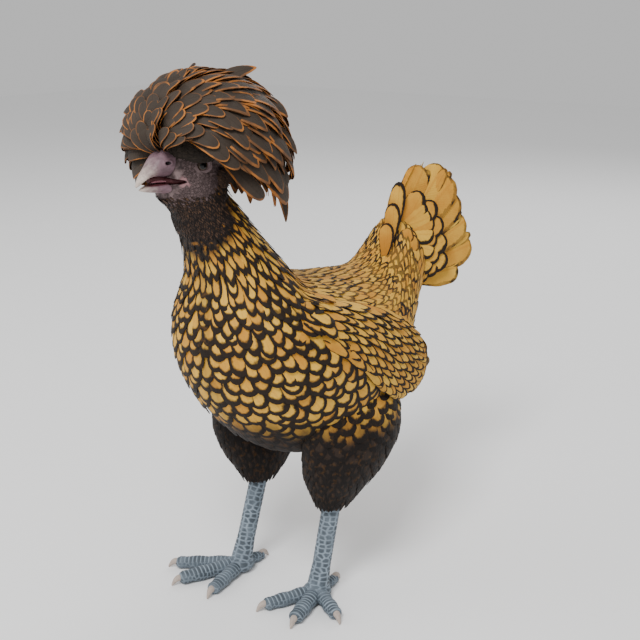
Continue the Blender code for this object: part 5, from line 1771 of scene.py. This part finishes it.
def build_claws(key, finish):
    leg = LEGS[key]
    base = Vector((leg["ankle"].x, leg["ankle"].y, 0.0))
    for label, tip, _ in leg["toes"]:
        along = (Vector((tip.x, tip.y, 0)) - base).normalized()
        root = Vector((tip.x, tip.y, TOE_HEIGHT)) - along * 0.0025
        points, radii = [], []
        for k in range(20):
            t = k / 19
            drop = 0.0014 * math.sin(math.pi * t) - (TOE_HEIGHT - 0.0005) * t * t
            points.append(root + along * (CLAW_LENGTH + 0.001) * t + Vector((0, 0, drop)))
            radii.append(CLAW_RADIUS * 1.18 * (1.0 - 0.80 * t ** 2.4))
        rings = on_floor(tube_rings(points, radii, 16))
        new_piece(ringed("claw", rings), f"claw_{label}_{key}_horn", finish, [f"claw_{label}_{key}"])


# Studio
CAMERA_AT = Vector((0.5172, -0.6023, 0.4531))
CAMERA_TURN = math.radians(38.0)
CAMERA_DIP = math.radians(16.3)
CAMERA_LENS = 61.875
SENSOR_WIDTH = 36.0
SKY = 0.62                  # strength of the even light from all round
# Lamps: place from the hen's point, power, size
LAMPS = {
    "key": ((0.5, -1.3, 1.9), 46.0, 0.8),
    "fill": ((-1.6, -1.0, 1.0), 9.0, 1.6),
    "back": ((-0.4, 1.7, 1.5), 14.0, 1.2),
}


def build_floor():
    made = bmesh.new()
    bmesh.ops.create_grid(made, x_segments=2, y_segments=2, size=4.0)
    mesh = saved_mesh(made, "floor")
    finish, _, shader = new_material("Studio floor", 0.9)
    shader.inputs["Base Color"].default_value = (0.93, 0.93, 0.93, 1.0)
    mesh.materials.append(finish)
    floor = in_scene("floor", mesh)


def build_lights():
    world = bpy.data.worlds.new("Studio")
    world.use_nodes = True
    background = world.node_tree.nodes["Background"]
    background.inputs[0].default_value = (1.0, 1.0, 1.0, 1.0)
    background.inputs[1].default_value = SKY
    bpy.context.scene.world = world
    target = STANCE + Vector((0, 0, 0.2))
    for name, (place, power, size) in LAMPS.items():
        light = bpy.data.lights.new(name, "AREA")
        light.energy = power
        light.size = size
        lamp = in_scene(name, light)
        lamp.location = STANCE + Vector(place)
        lamp.rotation_euler = (target - lamp.location).to_track_quat("-Z", "Y").to_euler()


def build_camera():
    level = math.cos(CAMERA_DIP)
    look = Vector((-math.sin(CAMERA_TURN) * level, math.cos(CAMERA_TURN) * level, -math.sin(CAMERA_DIP)))
    view = bpy.data.cameras.new("camera")
    view.lens = CAMERA_LENS
    view.sensor_width = SENSOR_WIDTH
    camera = in_scene("camera", view)
    camera.location = STANCE + CAMERA_AT
    camera.rotation_euler = look.to_track_quat("-Z", "Y").to_euler()
    bpy.context.scene.camera = camera


# Settings, steps and panel
class HenSettings(bpy.types.PropertyGroup):
    """Sizes and colours of the hen that a user may change."""
    body_row: FloatProperty(name="Body row", description="Distance between rows of body feathers",
                            default=0.0090, min=0.003, max=0.02, unit="LENGTH")
    coat_depth: FloatProperty(name="Coat depth", description="Depth of the feather roots under the tips",
                              default=0.0036, min=0.001, max=0.01, unit="LENGTH")
    skin_grain: FloatProperty(name="Skin grain", description="Edge of the faces that the skin is made of",
                              default=0.0016, min=0.001, max=0.01, unit="LENGTH")
    gold_light: FloatVectorProperty(name="Gold", description="Light ground of the body feathers",
                                    default=(0.75, 0.445, 0.060), min=0, max=1, subtype="COLOR")
    gold_deep: FloatVectorProperty(name="Deep gold", description="Deep ground of the body feathers",
                                   default=(0.52, 0.220, 0.026), min=0, max=1, subtype="COLOR")
    lace: FloatVectorProperty(name="Lacing", description="Rim of the body feathers",
                              default=(0.019, 0.0125, 0.0085), min=0, max=1, subtype="COLOR")
    crest_ground: FloatVectorProperty(name="Crest", description="Ground of the crest feathers",
                                      default=(0.0365, 0.0272, 0.0205), min=0, max=1, subtype="COLOR")
    crest_edge: FloatVectorProperty(name="Crest edge", description="Thin rim of the crest feathers",
                                    default=(0.37, 0.135, 0.030), min=0, max=1, subtype="COLOR")
    face: FloatVectorProperty(name="Face", description="Bare skin of the face",
                              default=(0.108, 0.074, 0.073), min=0, max=1, subtype="COLOR")
    legs: FloatVectorProperty(name="Legs", description="Scales of the shanks and toes",
                              default=(0.155, 0.19, 0.225), min=0, max=1, subtype="COLOR")
    horn: FloatVectorProperty(name="Horn", description="Tip of the beak and the claws",
                              default=(0.54, 0.45, 0.39), min=0, max=1, subtype="COLOR")


class HEN_OT_skin(bpy.types.Operator):
    """One skin under the whole plumage"""
    bl_idname = "hen.skin"
    bl_label = "Skin"

    def execute(self, context):
        build_skin()
        return {"FINISHED"}


class HEN_OT_neck(bpy.types.Operator):
    """Hackle feathers of the neck"""
    bl_idname = "hen.neck"
    bl_label = "Neck plumage"

    def execute(self, context):
        build_neck()
        return {"FINISHED"}


class HEN_OT_body(bpy.types.Operator):
    """Feathers of the breast, flanks, back and thighs"""
    bl_idname = "hen.body"
    bl_label = "Body plumage"

    def execute(self, context):
        build_breast()
        build_back()
        for key in LEGS:
            build_thigh_coat(key)
        return {"FINISHED"}


class HEN_OT_wings(bpy.types.Operator):
    """Coverts and quills of the folded wings"""
    bl_idname = "hen.wings"
    bl_label = "Wings"

    def execute(self, context):
        for key in LEGS:
            build_wing(key)
        return {"FINISHED"}


class HEN_OT_tail(bpy.types.Operator):
    """Tail feathers and their coverts"""
    bl_idname = "hen.tail"
    bl_label = "Tail"

    def execute(self, context):
        build_tail()
        return {"FINISHED"}


class HEN_OT_crest(bpy.types.Operator):
    """Crest of feathers combed back from the parting over the beak"""
    bl_idname = "hen.crest"
    bl_label = "Crest"

    def execute(self, context):
        build_crest()
        return {"FINISHED"}


class HEN_OT_head(bpy.types.Operator):
    """Beak, tongue, eyes, lids, ears and the short feathers of the face"""
    bl_idname = "hen.head"
    bl_label = "Head"

    def execute(self, context):
        build_beak()
        for side, key in ((1.0, "left"), (-1.0, "right")):
            build_eye(side, key)
            build_ear(side, key)
        build_face_coat()
        return {"FINISHED"}


class HEN_OT_legs(bpy.types.Operator):
    """Scaled shanks, toes and claws"""
    bl_idname = "hen.legs"
    bl_label = "Legs"

    def execute(self, context):
        shank, toes = leg_finish("Shank scales", 8.0, 27.0, 0.0), leg_finish("Toe scales", 9.0, 30.0, 1.0)
        claw = claw_finish()
        for key in LEGS:
            build_shank(key, shank)
            build_foot(key, toes)
            build_claws(key, claw)
        return {"FINISHED"}


class HEN_OT_studio(bpy.types.Operator):
    """Floor, lights and camera"""
    bl_idname = "hen.studio"
    bl_label = "Studio"

    def execute(self, context):
        build_floor()
        build_lights()
        build_camera()
        return {"FINISHED"}


OPERATORS = (HEN_OT_skin, HEN_OT_neck, HEN_OT_body, HEN_OT_wings, HEN_OT_tail, HEN_OT_crest,
             HEN_OT_head, HEN_OT_legs, HEN_OT_studio)


class HEN_PT_panel(bpy.types.Panel):
    """Steps that dress the hen, in order"""
    bl_idname = "HEN_PT_panel"
    bl_label = "Crested hen"
    bl_space_type = "VIEW_3D"
    bl_region_type = "UI"
    bl_category = "Hen"

    def draw(self, context):
        for step in OPERATORS:
            self.layout.operator(step.bl_idname)
        for label in HenSettings.__annotations__:
            self.layout.prop(context.scene.hen, label)


def register():
    for kind in (HenSettings, *OPERATORS, HEN_PT_panel):
        bpy.utils.register_class(kind)
    bpy.types.Scene.hen = PointerProperty(type=HenSettings)


def unregister():
    del bpy.types.Scene.hen
    for kind in reversed((HenSettings, *OPERATORS, HEN_PT_panel)):
        bpy.utils.unregister_class(kind)


def main():
    register()
    add_vane_marks()
    add_plumage_zones()
    add_scale_cells()
    for step in OPERATORS:
        group, name = step.bl_idname.split(".")
        getattr(getattr(bpy.ops, group), name)()
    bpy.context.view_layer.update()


if __name__ == "__main__":
    main()
